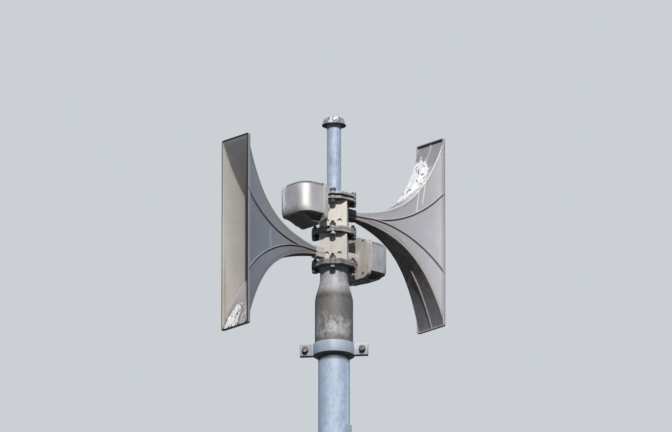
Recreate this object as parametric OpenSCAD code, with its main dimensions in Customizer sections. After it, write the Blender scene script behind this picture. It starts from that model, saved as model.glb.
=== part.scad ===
// Twin-horn siren on a round steel mast. Millimetres, +Z up.
// The origin is the centre of the underside of the base plate.
// The upper horn faces +X, the lower horn faces -X.

/* [Mast] */
// Outside diameter of the mast tube
pole_d = 108; // [90:1:120]
// Wall of the mast tube
pole_wall = 5; // [3:0.5:8]
// Height of bare tube below the adapter sleeve
pole_bare_h = 5000; // [1000:10:9000]
// Side of the square base plate
base_side = 320; // [300:5:400]
// Thickness of the base plate
base_t = 20; // [12:1:30]
// Radius of the base plate corners
base_corner_r = 25; // [10:1:35]
// Spacing of the anchor bolt holes
anchor_spacing = 240; // [235:5:260]
// Diameter of the anchor bolt holes
anchor_hole_d = 22; // [18:1:26]
// Height of the base gussets
gusset_h = 140; // [80:5:200]
// Reach of the base gussets from the tube
gusset_reach = 85; // [60:1:90]
// Thickness of the base gussets
gusset_t = 8; // [6:1:12]

/* [Pole clip] */
// Width of the clip on the tube
clip_w = 32; // [26:1:40]
// Height of the clip
clip_h = 60; // [40:1:80]
// How far the clip stands out from the tube
clip_out = 12; // [9:1:16]
// Width of the strip above the clip
strip_w = 6; // [4:1:10]
// Height of the strip above the clip
strip_h = 100; // [40:5:140]
// Distance from the clip's top to the sleeve
clip_drop = 254; // [150:1:400]
// Direction of the clip round the mast, in degrees
clip_turn = -81; // [-180:1:180]

/* [Adapter] */
// Outside diameter of the adapter sleeve
sleeve_d = 131; // [128:1:145]
// Height of the straight sleeve
sleeve_h = 185; // [160:1:260]
// Height of the curved reducer above the sleeve
reducer_h = 95; // [80:1:130]
// Height of the straight neck above the reducer
neck_h = 30; // [20:1:50]
// Outside diameter of the neck
neck_d = 95; // [86:1:104]
// Diameter of the bore through neck and reducer
neck_bore_d = 70; // [40:1:74]
// Thickness of the adapter's top flange
adapter_flange_t = 9; // [7:0.5:12]

/* [Clamp] */
// Height of the clamp band
clamp_h = 40; // [30:1:50]
// Thickness of the clamp band
clamp_t = 5.5; // [4:0.5:8]
// Distance from the mast axis to the end of an ear
ear_reach = 117; // [112:1:125]
// Distance from the mast axis to an ear bolt
ear_bolt_r = 98; // [94:1:102]
// Thickness of one ear
ear_t = 10; // [8:0.5:13]
// Gap between the two clamp halves
clamp_gap = 3; // [2:0.5:5]
// Direction of the clamp ears, in degrees
clamp_turn = -47; // [-90:1:90]

/* [Siren body] */
// Side of the square body
body_side = 95; // [90:1:98]
// Height of the body between its flanges
body_h = 99; // [96:1:110]
// Thickness of a body flange
flange_t = 9; // [7:0.5:12]
// Width across the flats of an octagonal flange
flange_af = 143; // [138:1:148]
// Radius of the lugs round the flange bolts
lug_r = 12; // [12:0.5:16]
// Distance from the axis to a flange bolt
bolt_r = 65; // [62:0.5:67]
// Width of an arched niche in the body
niche_w = 15.5; // [10:0.5:18]
// Height of an arched niche
niche_h = 32; // [18:1:40]
// Depth of an arched niche
niche_deep = 6; // [3:0.5:8]
// Distance from a face's middle to a niche's middle
niche_off = 22; // [20:0.5:26]

/* [Horns] */
// Distance from the axis to the mouth
mouth_r = 450; // [400:1:500]
// Height of the mouth over its rim
mouth_h = 676; // [560:2:760]
// Width of the mouth over its rim
mouth_w = 146; // [130:1:160]
// Height of the top and bottom sheets, measured upright
sheet_h = 4; // [3:0.5:6]
// Thickness of the flat side plates
side_t = 4; // [3:0.5:5]
// Depth of the rim round the mouth
rim_deep = 10; // [6:1:14]
// Thickness of the rim
rim_t = 4; // [3:0.5:6]
// How far the side plates reach into the rim's thickness
rim_lap = 2; // [1:0.5:2.5]
// Distance from the axis to the horn's narrow end
throat_r = 91; // [88:1:96]
// Height of the horn at its narrow end
throat_h = 30.4; // [28:0.2:32]
// Width of the horn at its narrow end
throat_w = 24; // [20:1:26]
// How much the flare's middle is drawn in
flare_dip = 0.1; // [0:0.01:0.14]
// Height of a horn's middle above or below its body's middle
horn_shift = 22; // [18:0.5:26]
// Width of the ribs on the side walls
rib_w = 4.5; // [3:0.5:7]
// Height of the ribs on the side walls
rib_out = 3; // [2:0.5:5]
// Distance from the axis to the fork of the ribs
fork_r = 208; // [180:1:240]
// Height of the rib's end above the horn's middle
rib_end_z = 145; // [120:1:170]
// Radius of the curved ribs
rib_bend_r = 397; // [360:1:500]
// Distance from the axis to the start of the back rib
back_rib_r = 354; // [320:1:390]
// Height of the back rib, measured upright
back_rib_out = 14; // [8:1:20]
// Thickness of the back rib
back_rib_t = 5; // [4:0.5:8]

/* [Throat collars] */
// Height of the collar between body and horn
collar_h = 41; // [36:0.5:46]
// Width of the collar
collar_w = 28; // [26:0.5:30]
// Radius of the collar's long edges
collar_corner = 6; // [3:0.5:10]

/* [Drivers] */
// Gap between the driver's neck and the nearer body flange
neck_gap = 0.5; // [0.3:0.1:6]
// Distance from the axis to the driver base
driver_r = 97; // [90:0.5:100]
// Depth of the driver base
driver_base_deep = 20; // [14:1:28]
// Width of the driver base
driver_w = 129; // [116:1:140]
// Height of the driver base above the horn's middle
driver_base_up = 69; // [62:1:74]
// Depth of the driver base below the horn's middle
driver_base_down = 69; // [67:1:76]
// Radius of the driver base's corners
driver_base_corner = 22; // [12:1:28]
// Width of the raised middle on the driver base
driver_hump_w = 80; // [50:1:90]
// How far the middle of the driver base is raised
driver_hump_up = 12; // [4:1:16]
// Depth of the driver cover
cover_deep = 80; // [60:1:90]
// How far the cover's sides lie inside those of the base
cover_set = 1.5; // [1:0.5:6]
// Height of the driver cover above the horn's middle
cover_up = 66; // [52:1:68]
// Depth of the driver cover below the horn's middle
cover_down = 66; // [60:1:67]
// Radius of the cover's upright corners
cover_corner = 27; // [16:1:30]
// Radius of the cover's top edges
cover_top_r = 15; // [6:1:20]
// Depth below the horn's middle where the cover's walls turn inwards
cover_turn_z = 43; // [36:1:50]
// How far the side walls turn inwards
cover_turn_in = 24; // [10:1:30]
// Rise of the cover's underside towards its front
cover_rise = 9; // [0:1:12]
// Depth of the rounded front edge of the underside
cover_nose = 26; // [14:1:34]
// Depth below the horn's middle where the cover's front starts to curve under
cover_nose_z = 20; // [10:1:45]

/* [Top pipe] */
// Thickness of the gasket on the upper body
gasket_t = 7; // [3:0.5:10]
// How far the gasket is set back from the flange's edge
gasket_in = 8; // [4:1:12]
// Thickness of the pipe's plate
pipe_plate_t = 9; // [6:0.5:12]
// Outside diameter of the top pipe
pipe_d = 48.3; // [42:0.1:54]
// Length of the top pipe above its plate
pipe_h = 278; // [180:1:340]
// Wall of the top pipe
pipe_wall = 4; // [3:0.5:6]
// Diameter of the cap's rim
cap_d = 84; // [76:1:92]
// Diameter of the cap's flat top
cap_top_d = 58; // [44:1:60]
// Radius of the cap's upper edge
cap_edge_r = 6; // [3:0.5:9]
// Height of the cap
cap_h = 25; // [20:1:34]
// Thickness of the cap
cap_t = 2; // [1.5:0.5:3]

/* [Bolts] */
// Diameter of the bolts
bolt_d = 12; // [10:1:12]
// Length of a flange bolt under its head
bolt_len = 44; // [42:1:60]
// Length of a clamp bolt under its head
clamp_bolt_len = 52; // [46:1:70]
// Extra diameter of a bolt's hole
bolt_play = 1.5; // [1:0.5:2]
// Width of a hexagon across its flats
hex_af = 19; // [17:1:21]
// Height of a bolt head
head_h = 7.5; // [6:0.5:9]
// Height of a nut
nut_h = 10; // [8:0.5:11]
// Diameter of a washer
washer_d = 24; // [22:1:25]
// Thickness of a washer
washer_t = 2.5; // [1.5:0.5:3]
// Diameter of a spring washer
spring_d = 20; // [18:1:22]
// Thickness of a spring washer
spring_t = 3.5; // [2:0.5:4]

/* [Hidden] */

$fn = 64;
// Gap left between round faces that seat on each other
seat = 0.3;
// Overrun of a cut past the face it opens
over = 1;
steps = 26;
pole_r = pole_d / 2;
sleeve_r = sleeve_d / 2;
sleeve_z = pole_bare_h;
reducer_z = sleeve_z + sleeve_h;
adapter_flange_z = reducer_z + reducer_h + neck_h;
lower_z = adapter_flange_z + adapter_flange_t;
module_h = body_h + 2 * flange_t;
upper_z = lower_z + module_h;
top_z = upper_z + module_h;
lower_horn_z = lower_z + module_h / 2 - horn_shift;
upper_horn_z = upper_z + module_h / 2 + horn_shift;
hole_r = (bolt_d + bolt_play) / 2;
neck_r = body_h / 2 - horn_shift - neck_gap;
cover_w = driver_w - 2 * cover_set;
clamp_in_r = sleeve_r + seat;
clamp_out_r = clamp_in_r + clamp_t;
pipe_z = top_z + gasket_t + pipe_plate_t;
cap_z = pipe_z + pipe_h - cap_h + cap_t;

// The horn's half height grows exponentially from the narrow end to the
// mouth, its half width evenly
horn_l = mouth_r - throat_r;
plate_w = mouth_w / 2 - rim_t + rim_lap;
flare_rate = ln(mouth_h / throat_h) / horn_l;
function half_h(r) = throat_h / 2 * exp(flare_rate * (r - throat_r))
    * (1 - flare_dip * sin(180 * (r - throat_r) / horn_l));
function half_w(r) = throat_w / 2 + (plate_w - throat_w / 2) * (r - throat_r) / horn_l;
function station(i, from, to) = from + (to - from) * i / steps;

module hexagon(af, h) {
    cylinder(d = af / cos(30), h = h, $fn = 6);
}

// Bolt with its head's seat at z = 0 below the joint and its nut above the grip
module bolt(grip, length) {
    translate([0, 0, -washer_t]) cylinder(d = washer_d, h = washer_t);
    translate([0, 0, -washer_t - spring_t]) cylinder(d = spring_d, h = spring_t);
    translate([0, 0, -washer_t - spring_t - head_h]) hexagon(hex_af, head_h);
    translate([0, 0, -washer_t - spring_t]) cylinder(d = bolt_d, h = length);
    translate([0, 0, grip]) cylinder(d = washer_d, h = washer_t);
    translate([0, 0, grip + washer_t]) hexagon(hex_af, nut_h);
}

module at_bolts(r, first) {
    for (i = [0:3]) rotate([0, 0, first + 90 * i]) translate([r, 0, 0]) children();
}

module rounded_rect(w, h, r) {
    square([w - 2 * r, h], center = true);
    square([w, h - 2 * r], center = true);
    for (x = [-1, 1], y = [-1, 1])
        translate([x * (w / 2 - r), y * (h / 2 - r)]) circle(r);
}

module base_plate() {
    color("lightslategray") difference() {
        linear_extrude(base_t) rounded_rect(base_side, base_side, base_corner_r);
        for (x = [-1, 1], y = [-1, 1])
            translate([x * anchor_spacing / 2, y * anchor_spacing / 2, -over])
                cylinder(d = anchor_hole_d, h = base_t + 2 * over);
    }
}

module base_gussets() {
    color("lightslategray") difference() {
        for (a = [0:90:270]) rotate([90, 0, a]) translate([0, 0, -gusset_t / 2])
            linear_extrude(gusset_t)
                polygon([[pole_r - over, base_t], [pole_r + gusset_reach, base_t],
                         [pole_r + gusset_reach, base_t + gusset_t * 2],
                         [pole_r + gusset_t * 2, base_t + gusset_h],
                         [pole_r - over, base_t + gusset_h]]);
        translate([0, 0, base_t - over])
            cylinder(r = pole_r + seat, h = gusset_h + 2 * over);
    }
}

module mast_pole() {
    color("lightsteelblue") translate([0, 0, base_t]) difference() {
        cylinder(r = pole_r, h = reducer_z - base_t);
        translate([0, 0, -over])
            cylinder(r = pole_r - pole_wall, h = reducer_z - base_t + 2 * over);
    }
}

module pole_clip() {
    color("silver") translate([0, 0, sleeve_z - clip_drop - clip_h])
        rotate([0, 0, clip_turn]) difference() {
            union() {
                translate([0, -clip_w / 2, 0]) cube([pole_r + clip_out, clip_w, clip_h]);
                translate([0, clip_w / 2 - 2 * strip_w, 0])
                    cube([pole_r + strip_w / 2, strip_w, clip_h + strip_h]);
            }
            translate([0, 0, -over])
                cylinder(r = pole_r + seat, h = clip_h + strip_h + 2 * over);
        }
}

// Sleeve over the mast, with an S-shaped reducer up to a straight neck
module adapter_sleeve() {
    neck_top_r = neck_d / 2;
    color("gray") rotate_extrude() polygon(concat(
        [[pole_r + seat, sleeve_z], [sleeve_r, sleeve_z]],
        [for (i = [0:16])
            [neck_top_r + (sleeve_r - neck_top_r) * (1 + cos(180 * i / 16)) / 2,
             reducer_z + reducer_h * i / 16]],
        [[neck_top_r, adapter_flange_z], [neck_bore_d / 2, adapter_flange_z],
         [neck_bore_d / 2, reducer_z], [pole_r + seat, reducer_z]]));
}

module octagon(af) {
    rotate(22.5) circle(d = af / cos(22.5), $fn = 8);
}

// Outline of a flange: an octagon with a lug at each bolt
module flange_outline() {
    difference() {
        union() {
            octagon(flange_af);
            for (a = [45:90:315]) rotate(a) translate([bolt_r, 0]) circle(lug_r);
        }
        for (a = [45:90:315]) rotate(a) translate([bolt_r, 0]) circle(hole_r);
    }
}

module adapter_flange() {
    color("gray") translate([0, 0, adapter_flange_z]) linear_extrude(adapter_flange_t)
        difference() {
            flange_outline();
            circle(d = neck_bore_d);
        }
}

// One half of the clamp, on the side of -Y before it is turned
module clamp_half() {
    translate([0, 0, sleeve_z]) difference() {
        union() {
            cylinder(r = clamp_out_r, h = clamp_h);
            translate([-ear_reach, -clamp_gap / 2 - ear_t, 0])
                cube([2 * ear_reach, ear_t, clamp_h]);
        }
        translate([0, 0, -over]) cylinder(r = clamp_in_r, h = clamp_h + 2 * over);
        translate([-ear_reach - over, -clamp_gap / 2, -over])
            cube([2 * (ear_reach + over), ear_reach, clamp_h + 2 * over]);
        for (x = [-1, 1]) translate([x * ear_bolt_r, 0, clamp_h / 2]) rotate([90, 0, 0])
            cylinder(r = hole_r, h = clamp_out_r);
    }
}

module clamp_front_half() {
    color("silver") rotate([0, 0, clamp_turn]) clamp_half();
}

module clamp_back_half() {
    color("silver") rotate([0, 0, clamp_turn + 180]) clamp_half();
}

module clamp_bolts() {
    grip = 2 * ear_t + clamp_gap;
    color("dimgray") rotate([0, 0, clamp_turn]) for (x = [-1, 1])
        translate([x * ear_bolt_r, -grip / 2, sleeve_z + clamp_h / 2]) rotate([-90, 0, 0])
            bolt(grip, clamp_bolt_len);
}

// Inverted U cut into a body face just above the lower flange
module niche() {
    translate([body_side / 2 - niche_deep, 0, flange_t]) rotate([90, 0, 90])
        linear_extrude(niche_deep + over) {
            translate([-niche_w / 2, 0]) square([niche_w, niche_h - niche_w / 2]);
            translate([0, niche_h - niche_w / 2]) circle(niche_w / 2);
        }
}

module siren_body(z) {
    translate([0, 0, z]) difference() {
        union() {
            linear_extrude(flange_t) flange_outline();
            translate([0, 0, flange_t]) linear_extrude(body_h)
                rotate(45) square(body_side, center = true);
            translate([0, 0, flange_t + body_h]) linear_extrude(flange_t) flange_outline();
        }
        for (a = [45:90:315], y = [-1, 1])
            rotate([0, 0, a]) translate([0, y * niche_off, 0]) niche();
    }
}

module lower_body() {
    color("beige") siren_body(lower_z);
}

module upper_body() {
    color("beige") siren_body(upper_z);
}

// Box-shaped collar seated on the body's upright edge, with the horn's
// passage through it and the horn's middle rib running on along its sides
module throat_collar(z, turn) {
    passage_h = throat_h - 2 * sheet_h;
    passage_w = throat_w - 2 * side_t;
    rib_span = throat_w + 2 * rib_out;
    translate([0, 0, z]) rotate([0, 0, turn]) difference() {
        union() {
            rotate([90, 0, 90]) linear_extrude(throat_r)
                rounded_rect(collar_w, collar_h, collar_corner);
            translate([0, -rib_span / 2, -rib_w / 2]) cube([throat_r, rib_span, rib_w]);
        }
        rotate([0, 0, 45]) translate([0, 0, -collar_h])
            linear_extrude(2 * collar_h) square(body_side, center = true);
        translate([0, -passage_w / 2, -passage_h / 2])
            cube([throat_r + over, passage_w, passage_h]);
    }
}

module lower_throat_collar() {
    color("dimgray") throat_collar(lower_horn_z, 180);
}

module upper_throat_collar() {
    color("dimgray") throat_collar(upper_horn_z, 0);
}

// Upright outline of the horn, moved inwards by inset
module side_outline(inset, from, to) {
    polygon(concat(
        [for (i = [0:steps]) let (r = station(i, from, to)) [r, half_h(r) - inset]],
        [for (i = [steps:-1:0]) let (r = station(i, from, to)) [r, inset - half_h(r)]]));
}

// The same outline as a block between the two side plates' inner faces
module flare(inset, out, from, to) {
    intersection() {
        rotate([90, 0, 0]) translate([0, 0, -mouth_w]) linear_extrude(2 * mouth_w)
            side_outline(inset, from, to);
        translate([0, 0, -mouth_h]) linear_extrude(2 * mouth_h)
            polygon([[from, half_w(from) + out], [to, half_w(to) + out],
                     [to, -half_w(to) - out], [from, -half_w(from) - out]]);
    }
}

// Centre line of the ribs: straight to the fork, then an arc to each end
module rib_lines() {
    run = mouth_r - fork_r;
    chord = sqrt(run * run + rib_end_z * rib_end_z);
    lean = atan2(rib_end_z, run);
    rise = sqrt(rib_bend_r * rib_bend_r - chord * chord / 4);
    centre_x = fork_r + run / 2 - rise * sin(lean);
    centre_z = rib_end_z / 2 + rise * cos(lean);
    translate([throat_r, -rib_w / 2]) square([fork_r - throat_r, rib_w]);
    for (side = [0, 1]) mirror([0, side]) intersection() {
        translate([centre_x, centre_z]) difference() {
            circle(rib_bend_r + rib_w / 2, $fn = 128);
            circle(rib_bend_r - rib_w / 2, $fn = 128);
        }
        translate([fork_r - rib_w, -rib_w / 2]) square([run + rib_w, rib_end_z * 2]);
    }
}

// Curved sheet on top of the horn, with its part of the rim and the back rib
module horn_sheet() {
    difference() {
        union() {
            flare(0, -side_t, throat_r, mouth_r);
            intersection() {
                flare(-back_rib_out, 0, throat_r, mouth_r);
                translate([back_rib_r, -back_rib_t / 2, 0])
                    cube([mouth_r - back_rib_r, back_rib_t, mouth_h / 2]);
            }
            intersection() {
                translate([mouth_r - rim_deep, -mouth_w / 2, mouth_h / 2 - rim_t])
                    cube([rim_deep, mouth_w, rim_t]);
                flare(-mouth_h, -side_t, throat_r, mouth_r);
            }
        }
        flare(sheet_h, over, throat_r - over, mouth_r + over);
        translate([0, -mouth_w, -mouth_h]) cube([mouth_r + over, 2 * mouth_w, mouth_h]);
    }
}

// Flat plate on the +Y side of the horn, with its ribs and its part of the rim
module horn_side() {
    lean = atan((plate_w - throat_w / 2) / horn_l);
    difference() {
        union() {
            flare(0, 0, throat_r, mouth_r);
            intersection() {
                rotate([90, 0, 0]) translate([0, 0, -mouth_w]) linear_extrude(mouth_w)
                    rib_lines();
                flare(0, rib_out, throat_r, mouth_r);
            }
            translate([mouth_r - rim_deep, 0, -mouth_h / 2])
                cube([rim_deep, mouth_w / 2, mouth_h]);
        }
        translate([throat_r, throat_w / 2 - side_t, -mouth_h]) rotate([0, 0, lean])
            translate([-over * 9, -mouth_w, 0])
                cube([horn_l * 1.1, mouth_w, 2 * mouth_h]);
    }
}

module at_horn(z, turn) {
    color("darkgray") translate([0, 0, z]) rotate([0, 0, turn]) children();
}

module lower_horn_top() {
    at_horn(lower_horn_z, 180) horn_sheet();
}

module lower_horn_bottom() {
    at_horn(lower_horn_z, 180) mirror([0, 0, 1]) horn_sheet();
}

module lower_horn_left() {
    at_horn(lower_horn_z, 180) horn_side();
}

module lower_horn_right() {
    at_horn(lower_horn_z, 180) mirror([0, 1, 0]) horn_side();
}

module upper_horn_top() {
    at_horn(upper_horn_z, 0) horn_sheet();
}

module upper_horn_bottom() {
    at_horn(upper_horn_z, 0) mirror([0, 0, 1]) horn_sheet();
}

module upper_horn_left() {
    at_horn(upper_horn_z, 0) horn_side();
}

module upper_horn_right() {
    at_horn(upper_horn_z, 0) mirror([0, 1, 0]) horn_side();
}

module driver_neck(z, turn) {
    translate([0, 0, z]) rotate([0, 0, turn]) difference() {
        rotate([0, 90, 0]) cylinder(r = neck_r, h = driver_r);
        rotate([0, 0, 45]) translate([0, 0, -body_h])
            linear_extrude(2 * body_h) square(body_side, center = true);
    }
}

module lower_driver_neck() {
    color("dimgray") driver_neck(lower_horn_z, 0);
}

module upper_driver_neck() {
    color("dimgray") driver_neck(upper_horn_z, 180);
}

// Seen from the front: a rounded plate with a raised middle
module base_outline() {
    tall = driver_base_up + driver_base_down;
    middle = (driver_base_up - driver_base_down) / 2;
    translate([0, middle]) rounded_rect(driver_w, tall, driver_base_corner);
    translate([0, middle + driver_hump_up])
        rounded_rect(driver_hump_w, tall, driver_base_corner);
}

module driver_base(z, turn) {
    translate([0, 0, z]) rotate([0, 0, turn]) translate([driver_r, 0, 0])
        rotate([90, 0, 90]) linear_extrude(driver_base_deep) base_outline();
}

module lower_driver_base() {
    color("tan") driver_base(lower_horn_z, 0);
}

module upper_driver_base() {
    color("tan") driver_base(upper_horn_z, 180);
}

// Seen from above: a block with rounded upright corners at its front
module cover_plan(from, to) {
    translate([from, -cover_w / 2]) square([cover_deep - cover_corner, cover_w]);
    translate([from, cover_corner - cover_w / 2])
        square([cover_deep, cover_w - 2 * cover_corner]);
    for (y = [-1, 1]) translate([to - cover_corner, y * (cover_w / 2 - cover_corner)])
        circle(cover_corner);
}

// Seen from the side: a rounded top edge and an underside that rises forwards
module cover_profile(from, to) {
    low = cover_rise - cover_down;
    rise = low + cover_nose_z;
    polygon(concat(
        [[from, -cover_down], [to - cover_nose, low]],
        [for (i = [1:6]) [to - cover_nose + cover_nose * sin(15 * i),
                          -cover_nose_z + rise * cos(15 * i)]],
        [for (i = [0:6]) [to - cover_top_r + cover_top_r * cos(15 * i),
                          cover_up - cover_top_r + cover_top_r * sin(15 * i)]],
        [[from, cover_up]]));
}

// Seen from the front: rounded top edges and lower walls turned inwards
module cover_front() {
    half = cover_w / 2;
    polygon(concat(
        [[cover_turn_in - half, -cover_down], [half - cover_turn_in, -cover_down],
         [half, -cover_turn_z]],
        [for (i = [0:6]) [half - cover_top_r + cover_top_r * cos(15 * i),
                          cover_up - cover_top_r + cover_top_r * sin(15 * i)]],
        [for (i = [6:-1:0]) [cover_top_r - half - cover_top_r * cos(15 * i),
                             cover_up - cover_top_r + cover_top_r * sin(15 * i)]],
        [[-half, -cover_turn_z]]));
}

module driver_cover(z, turn) {
    from = driver_r + driver_base_deep;
    to = from + cover_deep;
    translate([0, 0, z]) rotate([0, 0, turn]) intersection() {
        translate([0, 0, -2 * cover_down]) linear_extrude(4 * cover_down)
            cover_plan(from, to);
        rotate([90, 0, 0]) translate([0, 0, -driver_w]) linear_extrude(2 * driver_w)
            cover_profile(from, to);
        rotate([90, 0, 90]) linear_extrude(2 * to) cover_front();
    }
}

module lower_driver_cover() {
    color("gainsboro") driver_cover(lower_horn_z, 0);
}

module upper_driver_cover() {
    color("gainsboro") driver_cover(upper_horn_z, 180);
}

module adapter_bolts() {
    color("dimgray") translate([0, 0, adapter_flange_z]) at_bolts(bolt_r, 45)
        bolt(adapter_flange_t + flange_t, bolt_len);
}

module middle_bolts() {
    color("dimgray") translate([0, 0, upper_z - flange_t]) at_bolts(bolt_r, 45)
        bolt(2 * flange_t, bolt_len);
}

module top_bolts() {
    color("dimgray") translate([0, 0, top_z - flange_t]) at_bolts(bolt_r, 45)
        bolt(flange_t + gasket_t + pipe_plate_t, bolt_len);
}

module top_gasket() {
    color("dimgray") translate([0, 0, top_z]) linear_extrude(gasket_t) difference() {
        octagon(flange_af - 2 * gasket_in);
        for (a = [45:90:315]) rotate(a) translate([bolt_r, 0]) circle(hole_r);
    }
}

module pipe_plate() {
    color("gray") translate([0, 0, top_z + gasket_t]) linear_extrude(pipe_plate_t)
        flange_outline();
}

module top_pipe() {
    color("lightsteelblue") translate([0, 0, pipe_z]) difference() {
        cylinder(d = pipe_d, h = pipe_h);
        translate([0, 0, -over]) cylinder(d = pipe_d - 2 * pipe_wall, h = pipe_h + 2 * over);
    }
}

// Shell of the cap: a skirt that widens downwards and a rounded upper edge
module pipe_cap() {
    rim_r = cap_d / 2;
    low = cap_h - cap_edge_r;
    color("gainsboro") translate([0, 0, cap_z]) rotate_extrude() polygon(concat(
        [[0, cap_h]],
        [for (i = [0:8]) [cap_top_d / 2 + cap_edge_r * sin(90 * i / 8),
                          low + cap_edge_r * cos(90 * i / 8)]],
        [[rim_r, 0], [rim_r - cap_t, 0]],
        [for (i = [8:-1:0]) [cap_top_d / 2 + (cap_edge_r - cap_t) * sin(90 * i / 8),
                             low + (cap_edge_r - cap_t) * cos(90 * i / 8)]],
        [[0, cap_h - cap_t]]));
}

base_plate();
base_gussets();
mast_pole();
pole_clip();
adapter_sleeve();
adapter_flange();
clamp_front_half();
clamp_back_half();
clamp_bolts();
lower_body();
upper_body();
lower_throat_collar();
upper_throat_collar();
lower_horn_top();
lower_horn_bottom();
lower_horn_left();
lower_horn_right();
upper_horn_top();
upper_horn_bottom();
upper_horn_left();
upper_horn_right();
lower_driver_neck();
upper_driver_neck();
lower_driver_base();
upper_driver_base();
lower_driver_cover();
upper_driver_cover();
adapter_bolts();
middle_bolts();
top_bolts();
top_gasket();
pipe_plate();
top_pipe();
pipe_cap();
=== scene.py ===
import math

import bmesh
import bpy
from bpy.props import FloatProperty, FloatVectorProperty, IntProperty, PointerProperty
from mathutils import Matrix, Vector


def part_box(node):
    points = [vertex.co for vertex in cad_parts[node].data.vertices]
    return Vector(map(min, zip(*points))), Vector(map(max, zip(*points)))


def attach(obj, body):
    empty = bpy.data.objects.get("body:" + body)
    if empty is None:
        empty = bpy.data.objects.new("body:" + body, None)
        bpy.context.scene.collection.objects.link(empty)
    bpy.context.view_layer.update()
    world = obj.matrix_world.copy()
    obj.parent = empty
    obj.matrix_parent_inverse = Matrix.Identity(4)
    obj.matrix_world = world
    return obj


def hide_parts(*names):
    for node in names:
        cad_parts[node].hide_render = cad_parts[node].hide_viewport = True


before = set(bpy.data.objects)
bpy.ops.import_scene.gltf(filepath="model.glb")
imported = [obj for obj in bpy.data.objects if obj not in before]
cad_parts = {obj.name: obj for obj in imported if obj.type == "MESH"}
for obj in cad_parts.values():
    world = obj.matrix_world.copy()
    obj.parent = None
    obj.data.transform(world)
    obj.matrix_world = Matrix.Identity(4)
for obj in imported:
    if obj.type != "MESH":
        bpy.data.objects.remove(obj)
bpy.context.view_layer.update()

bl_info = {
    "name": "Twin horn siren on a mast",
    "version": (1, 0, 0),
    "blender": (4, 5, 0),
    "location": "3D View > Sidebar > Siren",
    "description": "Dresses the packed siren tower with detailed pieces and finishes",
    "category": "Object",
}

SIDES = ("lower", "upper")


def span(node, axis):
    low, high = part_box(node)
    return low[axis], high[axis]


# Heights and distances that the CAD model fixes
SLEEVE_FOOT = span("adapter_sleeve", 2)[0]
NECK_TOP = span("adapter_flange", 2)[0]
LOWER_BODY = span("lower_body", 2)
UPPER_BODY = span("upper_body", 2)
FLANGES = (LOWER_BODY[0], UPPER_BODY[0], UPPER_BODY[1])
FLANGE_T = 0.009
HORN_Z = {side: sum(span(f"{side}_horn_left", 2)) / 2 for side in SIDES}
THROAT_R, MOUTH_R = span("upper_horn_top", 0)
MOUTH_H = 2 * (span("upper_horn_left", 2)[1] - HORN_Z["upper"])
# The reducer between sleeve and neck
REDUCER_FOOT = NECK_TOP - 0.125
REDUCER_TALL = 0.095
# Level on the reducer above which the neck is clean
SHOULDER = NECK_TOP - 0.095
# Well above the base and far below the clamp
ALOFT = (1.0, 1.1)
# Brings the peak of t * t * (1 - t) to 1
BOW_SHAPE = 6.75
# The photo shows the strip over the clip reaching up to the clamp
STRIP_LONGER = 0.119
# The direction of the clamp's ears, nearly square to the photo's view
CLAMP_TURN = math.radians(-47)
# The middle of the siren's head, which the camera and the suns look at
HEAD = Vector((0, 0, 5.5165))
FLOOR_R = 2.6
# Degrees between two faces from which their edge counts as sharp
CREASE = 32


# Properties

def number(name, text, value, high=1.0, low=0.0, **kind):
    return FloatProperty(name=name, description=text, default=value, min=low, max=high, **kind)


def length(name, text, value, most=1.0):
    return number(name, text, value, most, subtype="DISTANCE", unit="LENGTH", precision=4)


def share(name, text, value):
    return number(name, text, value, subtype="FACTOR")


def angle(name, text, degrees):
    return FloatProperty(name=name, description=text, default=math.radians(degrees),
                         subtype="ANGLE", unit="ROTATION")


def colour(name, text, value):
    return FloatVectorProperty(name=name, description=text, default=value, size=3, min=0.0,
                               max=1.0, subtype="COLOR")


class SirenSizes(bpy.types.PropertyGroup):
    throat_h: length("Horn throat height", "Height of the horn's narrow end", 0.0304)
    throat_w: length("Horn throat width", "Width of the horn's narrow end", 0.024)
    mouth_w: length("Horn mouth width", "Width over the rim", 0.139)
    plate_w: length("Horn plate width", "Width over the side plates at the mouth", 0.135)
    plate_bow: length("Horn plate bow", "How far a side plate's middle is drawn in", 0.0044)
    horn_wall: length("Horn wall", "Thickness of the horn's plates and sheets", 0.004)
    horn_edge: length("Horn edge", "Radius of the folded edges of the horn", 0.0035)
    rim_deep: length("Rim depth", "Depth of the rim round the mouth", 0.01)
    rim_t: length("Rim thickness", "Thickness of the rim round the mouth", 0.004)
    rib_r: length("Rib radius", "Radius of the round ribs on the side plates", 0.0026)
    rib_fork: length("Rib fork", "Distance from the axis to the fork of the ribs", 0.162)
    rib_end: length("Rib end", "Height of a rib's end over the horn's middle", 0.148)
    rib_bend: length("Rib bend", "Radius of the curved ribs", 0.398)
    flare_dip: share("Flare dip", "How much the flare's middle is drawn in", 0.043)
    pole_r: length("Mast radius", "Outside radius of the mast tube", 0.054)
    sleeve_r: length("Sleeve radius", "Outside radius of the adapter sleeve", 0.0655)
    neck_r: length("Neck radius", "Outside radius of the adapter's neck", 0.0475)
    pipe_r: length("Top pipe radius", "Outside radius of the top pipe", 0.02415)
    cap_r: length("Cap radius", "Radius of the cap's rim", 0.042)
    cap_top_r: length("Cap top", "Radius of the cap's flat top", 0.029)
    edge: length("Edge rounding", "Rounding of the castings' edges", 0.0014)
    bolt_r: length("Bolt circle", "Distance from the axis to a flange bolt", 0.065)
    hex_af: length("Hexagon", "Width of a bolt head across its flats", 0.019)
    rings: IntProperty(name="Horn rings", description="Rings of faces along a horn's wall",
                       default=64, min=16, max=160)


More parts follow.
